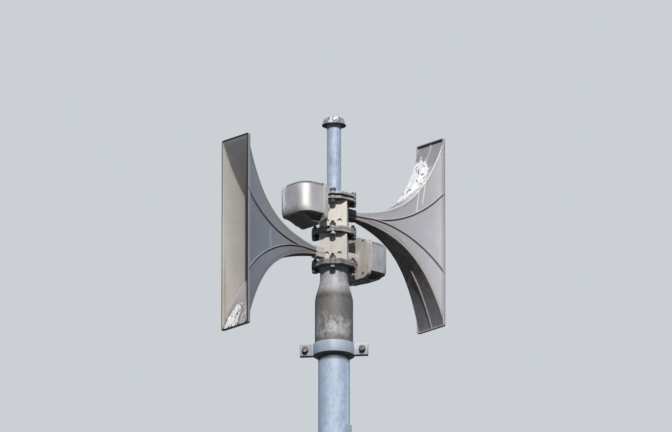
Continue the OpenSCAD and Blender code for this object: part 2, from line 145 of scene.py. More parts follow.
class SirenColours(bpy.types.PropertyGroup):
    # The blue of the galvanized tint is partly painted reflection of the sky
    galvanized: colour("Galvanized", "Mast, clamp and top pipe", (0.455, 0.54, 0.66))
    weathered: colour("Weathered steel", "Adapter sleeve", (0.185, 0.175, 0.162))
    casting: colour("Casting", "Bodies and driver bases", (0.7, 0.655, 0.6))
    flange: colour("Flange", "Flanges and plates", (0.25, 0.235, 0.22))
    # The upper horn's lighter tint is partly painted sheen
    horn_upper: colour("Upper horn", "Outside of the upper horn", (0.55, 0.535, 0.53))
    horn_lower: colour("Lower horn", "Outside of the lower horn", (0.4, 0.395, 0.4))
    horn_inside: colour("Horn inside", "Inside of the horns", (0.46, 0.435, 0.412))
    cover: colour("Driver cover", "Covers of the drivers", (0.78, 0.745, 0.73))
    zinc: colour("Bolt zinc", "Bolts, nuts and washers", (0.42, 0.41, 0.4))
    rust: colour("Rust", "Rust on bolts and edges", (0.16, 0.075, 0.035))
    dropping: colour("Droppings", "Bird droppings on the horns", (0.95, 0.935, 0.91))
    # Used for dirt in joints and specks, and for painted shade under faces, ribs and the rim
    grime: colour("Grime", "Dirt in corners and under edges", (0.055, 0.045, 0.037))
    cap: colour("Cap", "Cap of the top pipe", (0.34, 0.325, 0.31))


class SirenWear(bpy.types.PropertyGroup):
    droppings: share("Droppings", "How much of the marked areas is covered", 0.55)
    stains: share("Stains", "Strength of the stains and streaks", 0.5)
    rust: share("Rust", "Share of the bolts' faces that rusts", 0.35)
    seed: IntProperty(name="Seed", description="Seed of everything scattered", default=7,
                      min=0, max=999)


class SirenStage(bpy.types.PropertyGroup):
    azimuth: angle("Azimuth", "Camera's direction round the mast", -41.31)
    elevation: angle("Elevation", "Camera's elevation", -16.81)
    distance: length("Distance", "Camera's distance from the head", 49.0, 100.0)
    lens: number("Lens", "Focal length in millimetres", 765.3, 1000.0, 10.0,
                 subtype="DISTANCE_CAMERA")
    key: number("Key light", "Strength of the key light", 3.45, 20.0)
    fill: number("Fill light", "Strength of the light from behind", 0.5, 20.0)
    sky: number("Surroundings", "Strength of the even light", 0.36, 5.0)


def sizes():
    return bpy.context.scene.siren_sizes


def wear():
    return bpy.context.scene.siren_wear


def tint(name):
    return tuple(getattr(bpy.context.scene.siren_colours, name))


# Node trees

def operation(name, swapped=False):
    """A method of Value that adds a math node, with the other operand first if swapped."""
    def method(self, other=0.0):
        return self.make.math(name, other, self) if swapped else self.make.math(name, self, other)
    return method


class Value:
    """An output of a node, which sums and products can be written with."""
    __add__ = __radd__ = operation("ADD")
    __mul__ = __rmul__ = operation("MULTIPLY")
    __sub__ = operation("SUBTRACT")
    __rsub__ = operation("SUBTRACT", True)
    __truediv__ = operation("DIVIDE")
    __pow__ = operation("POWER")
    __rpow__ = operation("POWER", True)
    __abs__ = operation("ABSOLUTE")
    sine = operation("SINE")
    sign = operation("SIGN")
    root = operation("SQRT")
    above = operation("GREATER_THAN")
    most = operation("MAXIMUM")
    least = operation("MINIMUM")

    def __init__(self, make, socket):
        self.make = make
        self.socket = socket

    def __neg__(self):
        return self * -1.0

    def ramp(self, low, high, to_low=0.0, to_high=1.0):
        values = dict(enumerate((self, low, high, to_low, to_high)))
        return self.make.get("ShaderNodeMapRange", values, interpolation_type="SMOOTHSTEP")

    def band(self, low, high, soft):
        """1 between low and high, fading to 0 over soft on either side."""
        return self.ramp(low - soft, low + soft) * self.ramp(high - soft, high + soft, 1.0, 0.0)


class Maker:
    """Adds nodes to a tree, with numbers or values as inputs."""

    def __init__(self, tree):
        self.tree = tree

    def add(self, kind, inputs=None, **settings):
        node = self.tree.nodes.new(kind)
        for key, value in settings.items():
            setattr(node, key, value)
        for key, value in (inputs or {}).items():
            self.put(node.inputs[key], value)
        return node

    def put(self, socket, value):
        if isinstance(value, Value):
            self.tree.links.new(value.socket, socket)
        else:
            socket.default_value = value

    def get(self, kind, inputs=None, out=0, **settings):
        """The value of one output of a new node."""
        return Value(self, self.add(kind, inputs, **settings).outputs[out])

    def math(self, kind, a, b):
        return self.get("ShaderNodeMath", {0: a, 1: b}, operation=kind)

    def split(self, vector):
        node = self.add("ShaderNodeSeparateXYZ", {0: vector})
        return [Value(self, socket) for socket in node.outputs]

    def toned(self, colour, amount):
        """The colour made lighter or darker by a factor about 1."""
        return self.get("ShaderNodeVectorMath", {0: colour, "Scale": amount}, operation="SCALE")

    def mix(self, factor, a, b):
        a, b = [c if isinstance(c, Value) else (*c[:3], 1.0) for c in (a, b)]
        return self.get("ShaderNodeMix", {0: factor, 6: a, 7: b}, 2, data_type="RGBA")


class Paint(Maker):
    """The tree of a material, whose base colour is painted over layer by layer."""

    def __init__(self, tree):
        super().__init__(tree)
        tree.nodes.clear()
        self.at = self.get("ShaderNodeTexCoord", out="Object")
        self.where = self.split(self.at)
        self.stains = wear().stains
        self.grime = tint("grime")
        self.base = None

    def noise(self, scale, detail=3.0, rough=0.55, stretch=None):
        at = self.at
        if stretch:
            at = self.get("ShaderNodeMapping", {"Vector": at, "Scale": stretch})
        return self.get("ShaderNodeTexNoise", {"Vector": at, "Scale": scale, "Detail": detail,
                                               "Roughness": rough})

    def run(self, across, down, detail, rough=0.55):
        """Noise drawn out downwards."""
        return self.noise(1.0, detail, rough, (across, across, down))

    def normal(self, kind="Normal"):
        return self.split(self.get("ShaderNodeNewGeometry", out=kind))

    def start(self, name, amount):
        self.base = self.toned(tint(name), amount)

    def shade(self, amount):
        self.base = self.toned(self.base, amount)

    def tinted(self, colour, factors):
        """The colour with each of its channels scaled."""
        return self.get("ShaderNodeVectorMath", {0: colour, 1: factors}, operation="MULTIPLY")

    def over(self, factor, colour):
        self.base = self.mix(factor, self.base, colour)

    def looks_down(self, start, full):
        """1 where a face looks to the ground, 0 where it is upright or looks up."""
        return (-self.normal()[2]).ramp(start, full)

    # Painted shade: faces that look to the ground are darkened with the grime colour
    def soil_below(self, amount, start=0.3, full=0.8):
        self.over(self.looks_down(start, full) * amount, self.grime)


def finish(title, **constants):
    """Turns a function that paints into one that returns its material, made only once.

    The function returns roughness, height, depth of the bumps and, if it varies, metalness.
    """
    def wrap(draw):
        def material(*given):
            name = title.format(*given)
            known = bpy.data.materials.get(name)
            return known or new_material(name, lambda paint: draw(paint, *given), constants)
        return material
    return wrap


def new_material(name, draw, constants):
    material = bpy.data.materials.new(name)
    material.use_nodes = True
    paint = Paint(material.node_tree)
    rough, height, deep, *metal = draw(paint)
    relief = paint.get("ShaderNodeBump", {"Height": height, "Distance": deep, "Strength": 1.0})
    values = {"Base Color": paint.base, "Roughness": rough, "Normal": relief, **constants}
    if metal:
        values["Metallic"] = metal[0]
    shader = paint.get("ShaderNodeBsdfPrincipled", values)
    paint.add("ShaderNodeOutputMaterial", {0: shader})
    return material


def sine(value):
    return value.sine() if isinstance(value, Value) else math.sin(value)


def flare_height(along, narrow, mouth, dip):
    """Full height of a horn at a share of its length, of numbers or of values."""
    return narrow * (mouth / narrow) ** along * (1.0 - sine(along * math.pi) * dip)


def flare_width(along, narrow, mouth, bow):
    """Full width over a horn's side plates at a share of its length."""
    bend = along * along * (1.0 - along)
    return narrow + (mouth - narrow) * along - bend * (2 * BOW_SHAPE) * bow


# Finishes

@finish("galvanized steel", Metallic=0.15)
def galvanized(paint):
    stains = paint.stains
    cells = paint.get("ShaderNodeTexVoronoi", {"Vector": paint.at, "Scale": 70}, "Color")
    cloud = paint.noise(11, 5, 0.6)
    mottle = paint.run(34, 15, 6, 0.75)
    tone = paint.split(cells)[0] * 0.14 + cloud * 0.4 + paint.run(42, 2.4, 5, 0.65) * (0.9 * stains)
    paint.start("galvanized", tone + (mottle - 0.5) * (1.5 * stains) + 0.48)
    paint.over(paint.noise(23, 6, 0.72).ramp(0.52, 0.74) * (0.75 * stains), (0.24, 0.23, 0.22))
    pock = paint.noise(95, 4, 0.7, (1, 1, 0.5))
    paint.over(pock.ramp(0.56, 0.68, 0, 0.8 * stains), (0.25, 0.28, 0.32))
    paint.over(pock.ramp(0.42, 0.3, 0, 0.8 * stains), (0.68, 0.78, 0.88))
    paint.over(paint.run(30, 5, 4, 0.6).ramp(0.58, 0.74) * (0.5 * stains), (0.66, 0.74, 0.84))
    # Painted reflection: faces seen at a slant take on the blue of the sky
    aside = paint.get("ShaderNodeLayerWeight", {"Blend": 0.5}, "Facing")
    paint.over(aside.ramp(0.2, 0.8, 0, 0.75), (0.56, 0.71, 0.9))
    # The clamp is greyer and its ears are dirty; painted shade darkens undersides, and a ring of
    # painted shadow runs round the mast below the clamp
    x, y, z = paint.where
    from_axis = (x * x + y * y).root()
    clamp = from_axis.ramp(0.06, 0.063) * z.ramp(*ALOFT) * mottle.ramp(0.35, 0.6, 0.25, 0.65)
    paint.over(clamp, (0.41, 0.42, 0.44))
    ear = from_axis.ramp(0.072, 0.08) * z.ramp(*ALOFT) * cloud.ramp(0.3, 0.6, 0.3, 0.7)
    paint.over(ear, (0.36, 0.345, 0.34))
    paint.soil_below(0.8, 0.3, 0.9)
    ring = z.band(SLEEVE_FOOT - 0.022, SLEEVE_FOOT - 0.0005, 0.007)
    paint.over(ring * from_axis.ramp(0.06, 0.057) * 0.88, (0.055, 0.055, 0.06))
    return cloud.ramp(0.3, 0.7, 0.52, 0.72), paint.noise(160), 0.0004


@finish("weathered steel", Metallic=0.15)
def weathered(paint):
    z = paint.where[2]
    cloud = paint.noise(17, 6, 0.7)
    fine = paint.noise(80, 6, 0.75)
    paint.start("weathered", cloud * 0.75 + fine * 0.6 + 0.32)
    # The neck is the cleanest, then patches near the foot of the sleeve
    neck = (z + cloud * 0.03).ramp(SHOULDER + 0.005, SHOULDER + 0.045)
    foot = z.band(SLEEVE_FOOT + 0.05, SLEEVE_FOOT + 0.13, 0.03) * cloud.ramp(0.46, 0.6)
    paint.over(neck.most(foot) * fine.ramp(0.28, 0.6, 0.35, 1), (0.47, 0.47, 0.475))
    run = paint.run(48, 3.2, 5, 0.65).ramp(0.5, 0.72)
    paint.over(run * (0.6 * paint.stains), (0.16, 0.14, 0.115))
    # Painted shade: a dark ring low on the reducer
    ring = z.band(SHOULDER - 0.022, SHOULDER - 0.004, 0.008)
    paint.over(ring * fine.ramp(0.35, 0.6, 0.2, 0.7), paint.grime)
    return fine.ramp(0.3, 0.7, 0.5, 0.72), fine + cloud, 0.0007


def chalky(paint, flanges):
    """Chalky cast aluminium, either with flange marks or soiled all over."""
    cloud = paint.noise(24, 5, 0.62)
    patch = paint.noise(48, 6, 0.72)
    grain = paint.noise(260, 3, 0.6)
    run = paint.run(90, 6, 5, 0.7)
    paint.start("casting", cloud * 0.34 + grain * 0.2 + 0.76)
    paint.over(run.ramp(0.46, 0.7) * (0.75 * paint.stains), (0.38, 0.335, 0.28))
    speck = paint.noise(130, 4, 0.75).ramp(0.64, 0.72)
    paint.over(speck * (0.7 * paint.stains), paint.grime)
    if flanges:
        flange_marks(paint, patch)
    else:
        paint.shade(0.84)
        paint.over((patch - 0.5 + run * 0.5).ramp(0, 0.5) * 0.5, (0.25, 0.225, 0.195))
    # Painted shade on faces that look down
    paint.soil_below(0.75)
    return cloud.ramp(0.3, 0.7, 0.55, 0.75), grain + patch * 0.8, 0.0006


def flange_marks(paint, patch):
    """The lower body is duller, and so are the flanges, the lowest most."""
    z = paint.where[2]
    paint.shade(z.ramp(UPPER_BODY[0] - 0.02, UPPER_BODY[0], 0.8, 1))
    flanges = 0
    for level in FLANGES:
        flanges = z.band(level - 0.01, level + 0.01, 0.0006).most(flanges)
    worn = paint.toned(tint("flange"), patch * 1.5 + 0.25)
    worn = paint.toned(worn, z.ramp(LOWER_BODY[0] + 0.02, UPPER_BODY[0] - 0.02, 0.62, 1))
    paint.over(flanges * patch.ramp(0.3, 0.62, 0.97, 0.75), worn)
    for level in FLANGES:
        joint = z.band(level - 0.0009, level + 0.0009, 0.0006)
        paint.over(joint * 0.85, paint.grime)
        damp = (z + patch * 0.012).ramp(level + 0.026, level + 0.014)
        damp = damp * z.ramp(level + FLANGE_T - 0.0005, level + FLANGE_T + 0.0005)
        paint.over(damp * 0.45, (0.3, 0.27, 0.23))


@finish("cast aluminium", Metallic=0.05)
def casting(paint):
    return chalky(paint, True)


@finish("chalky driver base", Metallic=0.05)
def soiled_casting(paint):
    return chalky(paint, False)


# What differs between the horns: how strong their marks are, and their tints, which are partly
# painted light: the upper horn is lighter as its plates catch more sheen
HORN_LOOKS = {
    "upper": {"rim": 0.25, "seam": 0.4, "front": 0.75, "worn": 0.85, "low": 1.12, "high": 0.93,
              "worn_tint": (0.8, 0.79, 0.77), "field": (1, 0.99, 1.03),
              "edge": (1.02, 0.98, 0.95), "sheet": (0.97, 0.955, 0.94)},
    "lower": {"rim": 0, "seam": 0, "front": 0.93, "worn": 0.75, "low": 1.02, "high": 1,
              "worn_tint": (0.66, 0.64, 0.6), "field": (0.97, 1, 1.06),
              "edge": (1, 0.96, 0.93), "sheet": (0.74, 0.74, 0.74)},
}


class HornSpot:
    """Where a point lies on a horn, and what noise it has, as values of the material."""

    def __init__(self, paint, side):
        x, y, z = paint.where
        self.out = 1 if side == "upper" else -1
        self.r = x * self.out
        self.y = y
        self.up = z - HORN_Z[side]
        self.facing = paint.normal("True Normal")
        self.to_camera = -self.facing[1]
        self.inner = paint.get("ShaderNodeAttribute", out="Fac", attribute_name="inner")
        self.outside = self.inner.ramp(1, 0)
        # Depths in from the folded edge and from the side plate's face
        self.deep = half_height(self.r) - abs(self.up)
        self.from_side = half_width(self.r) - abs(y)
        self.plate = abs(self.facing[1]).ramp(0.25, 0.6) * self.from_side.ramp(0.012, 0.006)
        self.cloud = paint.noise(8, 5, 0.62)
        self.fine = paint.noise(65, 4, 0.65)
        self.run = paint.run(60, 2.6, 5, 0.62)


def horn_tones(paint, spot, side, look):
    """Plates are bluish in the middle and warmer towards their edges, sheets duller."""
    tone = spot.cloud * 0.34 + spot.fine * 0.12 + spot.run * (0.3 * paint.stains) + 0.66
    paint.start(f"horn_{side}", tone)
    warm = (spot.deep + (spot.cloud - 0.5) * 0.12).ramp(0.055, 0.02) * spot.plate
    paint.base = paint.mix(warm, paint.tinted(paint.base, look["field"]),
                           paint.tinted(paint.base, look["edge"]))
    paint.shade(spot.up.ramp(0.12, -0.08, look["high"], look["low"]))
    paint.over(spot.plate.ramp(1, 0), paint.tinted(paint.base, look["sheet"]))
    paint.over(spot.inner, paint.toned(tint("horn_inside"), tone))


def horn_lining(paint, spot):
    """The mouth's walls are brown low down near the rim, and its inner faces near the rim get
    painted shade.
    """
    brown = ((spot.up + spot.cloud * 0.3).ramp(0.05, -0.2)
             * (spot.r + spot.cloud * 0.04).ramp(0.425, 0.465))
    paint.over(brown * spot.inner * 0.55, (0.23, 0.175, 0.115))
    # Painted shade on the inner faces near the rim
    inner_rim_shade = (-(spot.facing[1] * spot.y.sign())).ramp(0.5, 0.9)
    inner_rim_shade = inner_rim_shade * spot.r.ramp(MOUTH_R - 0.0135, MOUTH_R - 0.012)
    shades = paint.mix(spot.up.ramp(0, -0.22), (0.44, 0.415, 0.365), (0.3, 0.26, 0.22))
    paint.over(inner_rim_shade * 0.9, shades)


def horn_edges(paint, spot, side, look):
    """Folded edges are lighter, partly from wear and partly as a painted highlight, with a dirty
    line beside them.
    """
    dirty = spot.deep.band(0.008, 0.016, 0.004) * spot.plate * spot.fine.ramp(0.35, 0.65, 0.1, 0.6)
    paint.over(dirty, paint.toned(tint(f"horn_{side}"), 0.55))
    # Wear and painted highlight, strongest on edges that face up and towards the near side
    worn = spot.deep.band(-0.0015, 0.0045, 0.001) * spot.outside
    worn = worn * spot.facing[2].ramp(-0.35, 0.05) * spot.y.ramp(0, 0.01, 1, 0.15)
    worn = worn * spot.from_side.ramp(0.005, 0.0035)
    worn = worn * spot.r.ramp(THROAT_R - 0.001, THROAT_R + 0.004)
    paint.over(worn * look["worn"], look["worn_tint"])


def rib_dirt(paint, spot):
    """A dark line below the ribs, dirt and painted shadow."""
    fork, centre_r, centre_z, bend = rib_circle()
    from_r = spot.r - centre_r
    from_z = abs(spot.up) - centre_z
    below = ((from_r * from_r + from_z * from_z).root() - bend) * spot.up.sign()
    arc = below.band(0.0028, 0.0062, 0.0012) * spot.r.ramp(fork - 0.01, fork + 0.01)
    arc = arc * abs(spot.up).ramp(0.152, 0.148)
    trunk = spot.up.band(-0.0062, -0.0028, 0.0012) * spot.r.ramp(fork + 0.01, fork - 0.01)
    paint.over(arc.most(trunk) * spot.plate * spot.outside * 0.85, paint.grime)


def rim_marks(paint, spot, look):
    """The rim is a shade lighter, with a dark line of painted shadow where it meets the plates and
    painted shade on its front edge.
    """
    rim = spot.r.ramp(MOUTH_R - 0.0105, MOUTH_R - 0.0095) * spot.outside
    paint.over(rim * look["rim"], (0.5, 0.485, 0.47))
    front = (spot.facing[0] * spot.out).ramp(0.35, 0.7)
    front = front * spot.r.ramp(MOUTH_R - 0.0014, MOUTH_R - 0.0006)
    # The front edge is darkened with painted shade, but on the far side only towards the foot
    far_side = sizes().plate_w / 2
    far_part = spot.y.ramp(far_side - 0.004, far_side - 0.002) * spot.up.ramp(-0.26, -0.08)
    paint.over(front * (1 - far_part) * look["front"], (0.075, 0.065, 0.055))
    # Painted shadow of the rim on the plates
    seam = spot.r.band(MOUTH_R - 0.0135, MOUTH_R - 0.0108, 0.001) * spot.plate * spot.outside
    paint.over(seam * look["seam"], paint.grime)


def horn_soot(paint, spot):
    """Painted shade on the collar and under the horn, and soot on the lower strip of the plates
    next to the collar.
    """
    # Painted shadow darkens the collar
    paint.over(spot.r.ramp(THROAT_R + 0.001, THROAT_R - 0.001) * 0.8, (0.065, 0.06, 0.058))
    strip = ((spot.up + spot.cloud * 0.02).ramp(0.012, -0.004)
             * (spot.r + spot.cloud * 0.12).ramp(0.36, 0.16))
    paint.over(strip * spot.plate * spot.outside * (0.45 * paint.stains + 0.15),
               (0.16, 0.135, 0.115))
    # Painted shade on faces that look down
    down = paint.looks_down(0.05, 0.45) * spot.fine.ramp(0.3, 0.7, 0.95, 0.78)
    underside_shade = paint.toned((0.115, 0.095, 0.078), spot.run + 0.5)
    underside_shade = paint.toned(underside_shade, spot.r.ramp(0.14, 0.32, 0.15, 1))
    # The painted shade under the horn thins out towards the mouth and turns greyer
    greyer = paint.mix(spot.r.ramp(0.36, 0.43), (1, 1, 1), (1.9, 2.2, 2.6))
    paint.over(down * spot.inner.ramp(0, 1, 1, 0.45), paint.tinted(underside_shade, greyer))


def upper_droppings(paint, spot, warp):
    """White crust on the upper horn's top sheet, a thin wash beside it and two runs."""
    r, y, up = spot.r, spot.y, spot.up
    reach = r + warp * 0.05
    side_on = y + warp * 0.03
    # The crust narrows towards the throat along the far edge
    near_edge = reach.ramp(0.375, 0.29) * 0.066 - 0.046
    top = 0.436 - side_on.ramp(0.02, -0.05) * 0.028
    area = (side_on - near_edge).ramp(-0.002, 0.016) * (top - reach).ramp(-0.004, 0.018)
    area = area * reach.ramp(0.255, 0.285)
    grain = paint.noise(62, 5, 0.68, (1.6, 1.6, 0.3))
    crust = (area + grain * 0.9).ramp(0.93, 1.06)
    wash = reach.ramp(0.285, 0.325) * reach.ramp(0.425, 0.385) * grain.ramp(0.38, 0.62, 0.15, 0.75)
    web = abs(y).ramp(0.004, 0.003)
    sheet = (-spot.facing[0]).ramp(0.2, 0.4).most(web) * up.ramp(0.02, 0.06)
    # It laps over the far edge but keeps off the near one
    inset = spot.from_side - y.ramp(-0.01, 0.01, 0.002, -0.002)
    sheet = sheet * inset.ramp(0, 0.002)
    cover = crust.most(wash) * sheet
    for at_r, foot, drift in ((0.3475, 0.052, 0.13), (0.3683, 0.081, 0.164)):
        wander = (paint.run(3, 14, 2) - 0.5) * 0.006
        line = (r - (up - 0.12) * drift + wander).band(at_r - 0.0022, at_r + 0.0022, 0.0016)
        line = line * up.ramp(foot, foot + 0.012) * spot.to_camera.ramp(0.6, 0.9)
        cover = cover.most(line * 0.5)
    specks = paint.noise(82, 3, 0.55, (1, 1, 0.6)).ramp(0.58, 0.62) * area.ramp(0.55, 0.85)
    return cover, specks * sheet


def lower_droppings(paint, spot, warp):
    """Streaky white patch on the lower sheet of the lower horn's mouth, and one pale run."""
    reach = spot.r + warp * 0.03
    side_on = spot.y + warp * 0.022
    # The patch leans towards the far lower corner
    near_edge = reach.ramp(0.4, 0.432, 0.002, -0.016)
    far_edge = reach.ramp(0.4, 0.445, 0.014, 0.062)
    area = (side_on - near_edge).ramp(-0.004, 0.01) * (far_edge - side_on).ramp(-0.004, 0.012)
    area = area * reach.ramp(0.402, 0.424)
    grain = paint.noise(90, 5, 0.7, (1, 2.4, 0.34))
    crust = (area + grain * 2.2).ramp(1.8, 2.06)
    faint = spot.y.band(-0.052, -0.02, 0.01) * reach.ramp(0.375, 0.41)
    faint = faint * grain.ramp(0.42, 0.6, 0.05, 0.75)
    rising = spot.facing[2].ramp(0.12, 0.25)
    cover = crust.most(faint) * (spot.inner * rising)
    line = spot.r + (paint.run(3, 20, 2) - 0.5) * 0.012 - spot.up * 0.03
    line = line.band(0.324, 0.331, 0.0025) * spot.up.band(-0.045, 0.025, 0.012)
    line = line * spot.to_camera.ramp(0.6, 0.9)
    specks = paint.noise(80, 4, 0.6, (1, 1, 0.4)).ramp(0.585, 0.635) * area.ramp(0.35, 0.75)
    return cover.most(line * 0.24), specks * rising * spot.inner


@finish("{} horn sheet")
def horn_finish(paint, side):
    look = HORN_LOOKS[side]
    spot = HornSpot(paint, side)
    horn_tones(paint, spot, side, look)
    horn_lining(paint, spot)
    horn_edges(paint, spot, side, look)
    rib_dirt(paint, spot)
    rim_marks(paint, spot, look)
    horn_soot(paint, spot)
    warp = paint.noise(30, 6, 0.75) - 0.5
    droppings = upper_droppings if side == "upper" else lower_droppings
    cover, specks = droppings(paint, spot, warp)
    cover = (cover * (0.55 + 0.8 * wear().droppings)).least(1)
    paint.over(cover, paint.toned(tint("dropping"), spot.run.ramp(0.35, 0.65, 0.88, 1.05)))
    paint.over(specks, (0.13, 0.09, 0.06))
    rough = (cover + spot.fine * 0.25).ramp(0, 1, 0.5, 0.85)
    return rough, spot.fine * 0.25 + cover, 0.0008, cover.ramp(0, 1, 0.4, 0)


@finish("driver cover")
def cover_finish(paint):
    cloud = paint.noise(18, 5, 0.6)
    fine = paint.noise(130, 3, 0.6)
    blot = paint.noise(40, 6, 0.72)
    run = paint.run(75, 3, 5, 0.65)
    paint.start("cover", cloud * 0.4 + run * (0.6 * paint.stains) + 0.56)
    facing = paint.normal()
    top = facing[2].ramp(0.2, 0.6) * blot.ramp(0.38, 0.6, 0.2, 1)
    paint.over(top * 0.75, (0.14, 0.12, 0.095))
    x, y, z = paint.where
    upper = z.ramp(UPPER_BODY[0] - 0.01, UPPER_BODY[0])
    middle_z = upper * (HORN_Z["upper"] - HORN_Z["lower"]) + HORN_Z["lower"]
    deep = middle_z - z + COVER_TURN
    # Dirt gathers under the top's edge, and the far front corner gets a near-white painted
    # highlight near the top
    top_edge = COVER_TURN - COVER_UP
    edge = (deep + blot * 0.012).band(top_edge - 0.02, top_edge + 0.019, 0.006)
    paint.over(edge * 0.55, (0.17, 0.15, 0.12))
    far_corner_highlight = (y * (upper * 2 - 1)).ramp(0.018, 0.034)
    far_corner_highlight = far_corner_highlight * abs(x).ramp(COVER_TO - 0.032, COVER_TO - 0.02)
    far_corner_highlight = far_corner_highlight * deep.ramp(0.005, -0.045) * paint.run(110, 16, 4).ramp(0.4, 0.52)
    paint.over(far_corner_highlight * 0.85, (0.95, 0.93, 0.91))
    # Painted shade: the underside is dark all over, and its hollow sides most
    sideways = abs(facing[1])
    cove = deep.ramp(0.0002, 0.0015) * sideways.ramp(0.25, 0.55)
    hood_under_shade = ((blot - 0.5) * 0.5 - facing[2]).ramp(0.12, 0.75).most(cove)
    paint.over(hood_under_shade * 0.92, paint.toned((0.098, 0.086, 0.062), blot + 0.5))
    paint.over(cove * sideways.ramp(0.4, 0.8) * 0.5, (0.006, 0.006, 0.006))
    rough = cloud.ramp(0.3, 0.7, 0.6, 0.72) + (top + hood_under_shade) * 0.3
    return rough, fine + blot * 0.5, 0.0002, far_corner_highlight.most(hood_under_shade * 0.8).ramp(0, 1, 0.7, 0)


@finish("bare edge", Metallic=0.4)
def bare_edge(paint):
    """Light metal along an edge, partly wear and partly a painted highlight where the edge catches
    the light.
    """
    cloud = paint.noise(90, 4, 0.65)
    paint.base = paint.toned((0.72, 0.7, 0.67), cloud * 0.8 + 0.45)
    # Painted shade on faces that look down
    paint.soil_below(0.8, 0, 0.5)
    return cloud.ramp(0.3, 0.7, 0.4, 0.6), cloud, 0.0002


@finish("bolt steel", Metallic=0.6)
def bolt_finish(paint):
    cloud = paint.noise(45, 5, 0.7)
    patch = paint.noise(13, 3, 0.6)
    paint.start("zinc", cloud * 0.5 + 0.72)
    amount = wear().rust * 0.35
    eaten = (cloud * 0.5 + patch * 0.6).ramp(0.72 - amount, 0.8 - amount)
    paint.over(eaten * 0.85, tint("rust"))
    # Bolts on the tower are dark, partly their own colour and partly painted shade, with painted
    # glints that are weaker on the clamp's
    z = paint.where[2]
    paint.over(z.ramp(SLEEVE_FOOT - 0.2, SLEEVE_FOOT - 0.15, 0, 0.82), (0.06, 0.056, 0.055))
    glint = paint.noise(75, 3, 0.6).ramp(0.56, 0.62, 0, 0.9)
    glint = glint * z.ramp(NECK_TOP - 0.06, NECK_TOP - 0.05, 0.25, 1)
    paint.over(glint, (0.95, 0.93, 0.9))
    # Painted shade on faces that look down
    paint.soil_below(0.8)
    return eaten.ramp(0, 1, 0.32, 0.8), paint.noise(240, 3, 0.6) + eaten * 1.5, 0.0003


@finish("gasket rubber")
def rubber(paint):
    grain = paint.noise(180, 3, 0.6)
    dust = paint.noise(30, 4, 0.6).ramp(0.45, 0.75)
    paint.base = paint.mix(dust * 0.4, (0.018, 0.018, 0.018), (0.1, 0.09, 0.08))
    return grain.ramp(0, 1, 0.6, 0.85), grain, 0.0003


@finish("cap metal", Metallic=0.15)
def cap_finish(paint):
    cloud = paint.noise(34, 5, 0.65)
    paint.start("cap", cloud * 0.8 + 0.45)
    paint.over(paint.run(120, 14, 4, 0.6).ramp(0.5, 0.6) * 0.85, tint("dropping"))
    paint.over(cloud.ramp(0.56, 0.68) * 0.8, (0.2, 0.16, 0.13))
    # Painted shade on faces that look down
    paint.soil_below(0.9, 0.05, 0.5)
    return cloud.ramp(0.3, 0.7, 0.35, 0.65), cloud, 0.0006


@finish("pale floor")
def floor_finish(paint):
    cloud = paint.noise(0.6, 4, 0.6)
    paint.base = paint.toned((0.6, 0.6, 0.59), cloud * 0.1 + 0.95)
    return cloud.ramp(0, 1, 0.8, 0.9), cloud, 0.0001


# Making and placing pieces

def place(name, mesh, material, slot, *nodes, crease=CREASE):
    """A new piece at the origin with smooth faces and sharp creases, for the given nodes."""
    if not mesh.polygons:
        raise RuntimeError(f"{name} has no faces")
    if material.name not in mesh.materials:
        mesh.materials.clear()
        mesh.materials.append(material)
    mesh.polygons.foreach_set("use_smooth", [True] * len(mesh.polygons))
    mesh.set_sharp_from_angle(angle=math.radians(crease))
    mesh.update()
    piece = linked(name, mesh)
    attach(piece, "root")
    if nodes:
        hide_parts(*nodes)


def linked(name, data):
    thing = bpy.data.objects.new(name, data)
    bpy.context.scene.collection.objects.link(thing)
    return thing


def to_mesh(name, work, clean=False):
    if clean:
        bmesh.ops.remove_doubles(work, verts=work.verts, dist=1e-6)
        bmesh.ops.recalc_face_normals(work, faces=work.faces)
    mesh = bpy.data.meshes.new(name)
    work.to_mesh(mesh)
    work.free()
    return mesh


def joined(name, meshes):
    """One mesh from several, the given ones removed and their materials kept."""
    work = bmesh.new()
    materials = []
    for mesh in meshes:
        first = len(work.faces)
        work.from_mesh(mesh)
        work.faces.ensure_lookup_table()
        materials += [m for m in mesh.materials if m not in materials]
        slots = [materials.index(m) for m in mesh.materials] or [0]
        for face in work.faces[first:]:
            face.material_index = slots[face.material_index]
        bpy.data.meshes.remove(mesh)
    mesh = to_mesh(name, work)
    for material in materials:
        mesh.materials.append(material)
    return mesh


def softened(nodes, width, segments=2):
    """A copy of CAD nodes with their faces merged and their edges rounded."""
    work = bmesh.new()
    for node in nodes:
        work.from_mesh(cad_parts[node].data)
    apart, flat = 1e-5, math.radians(0.6)
    bmesh.ops.remove_doubles(work, verts=work.verts, dist=apart)
    bmesh.ops.dissolve_limit(work, angle_limit=flat, verts=work.verts, edges=work.edges)
    edges = [edge for edge in work.edges
             if len(edge.link_faces) == 2 and edge.calc_face_angle(0) > math.radians(CREASE)]
    bmesh.ops.bevel(work, geom=edges, offset=width, offset_type="OFFSET", segments=segments,
                    profile=0.6, affect="EDGES", clamp_overlap=True, miter_outer="ARC")
    return to_mesh(nodes[0], work)


def circle(radius, height, count=96):
    turns = [2 * math.pi * i / count for i in range(count)]
    return [(radius * math.cos(a), radius * math.sin(a), height) for a in turns]


def arc(cx, cy, radius, start, end, steps):
    """Points on an arc between two angles in degrees."""
    turns = [math.radians(start + (end - start) * i / steps) for i in range(steps + 1)]
    return [(cx + radius * math.cos(a), cy + radius * math.sin(a)) for a in turns]


def bridge(work, low, high):
    """Faces between two rings of vertices, of which either may be a single one."""
    count = max(len(low), len(high))
    for i in range(count):
        j = (i + 1) % count
        corners = [low[i % len(low)], low[j % len(low)], high[j % len(high)], high[i % len(high)]]
        corners = list(dict.fromkeys(corners))
        if len(corners) > 2:
            work.faces.new(corners)


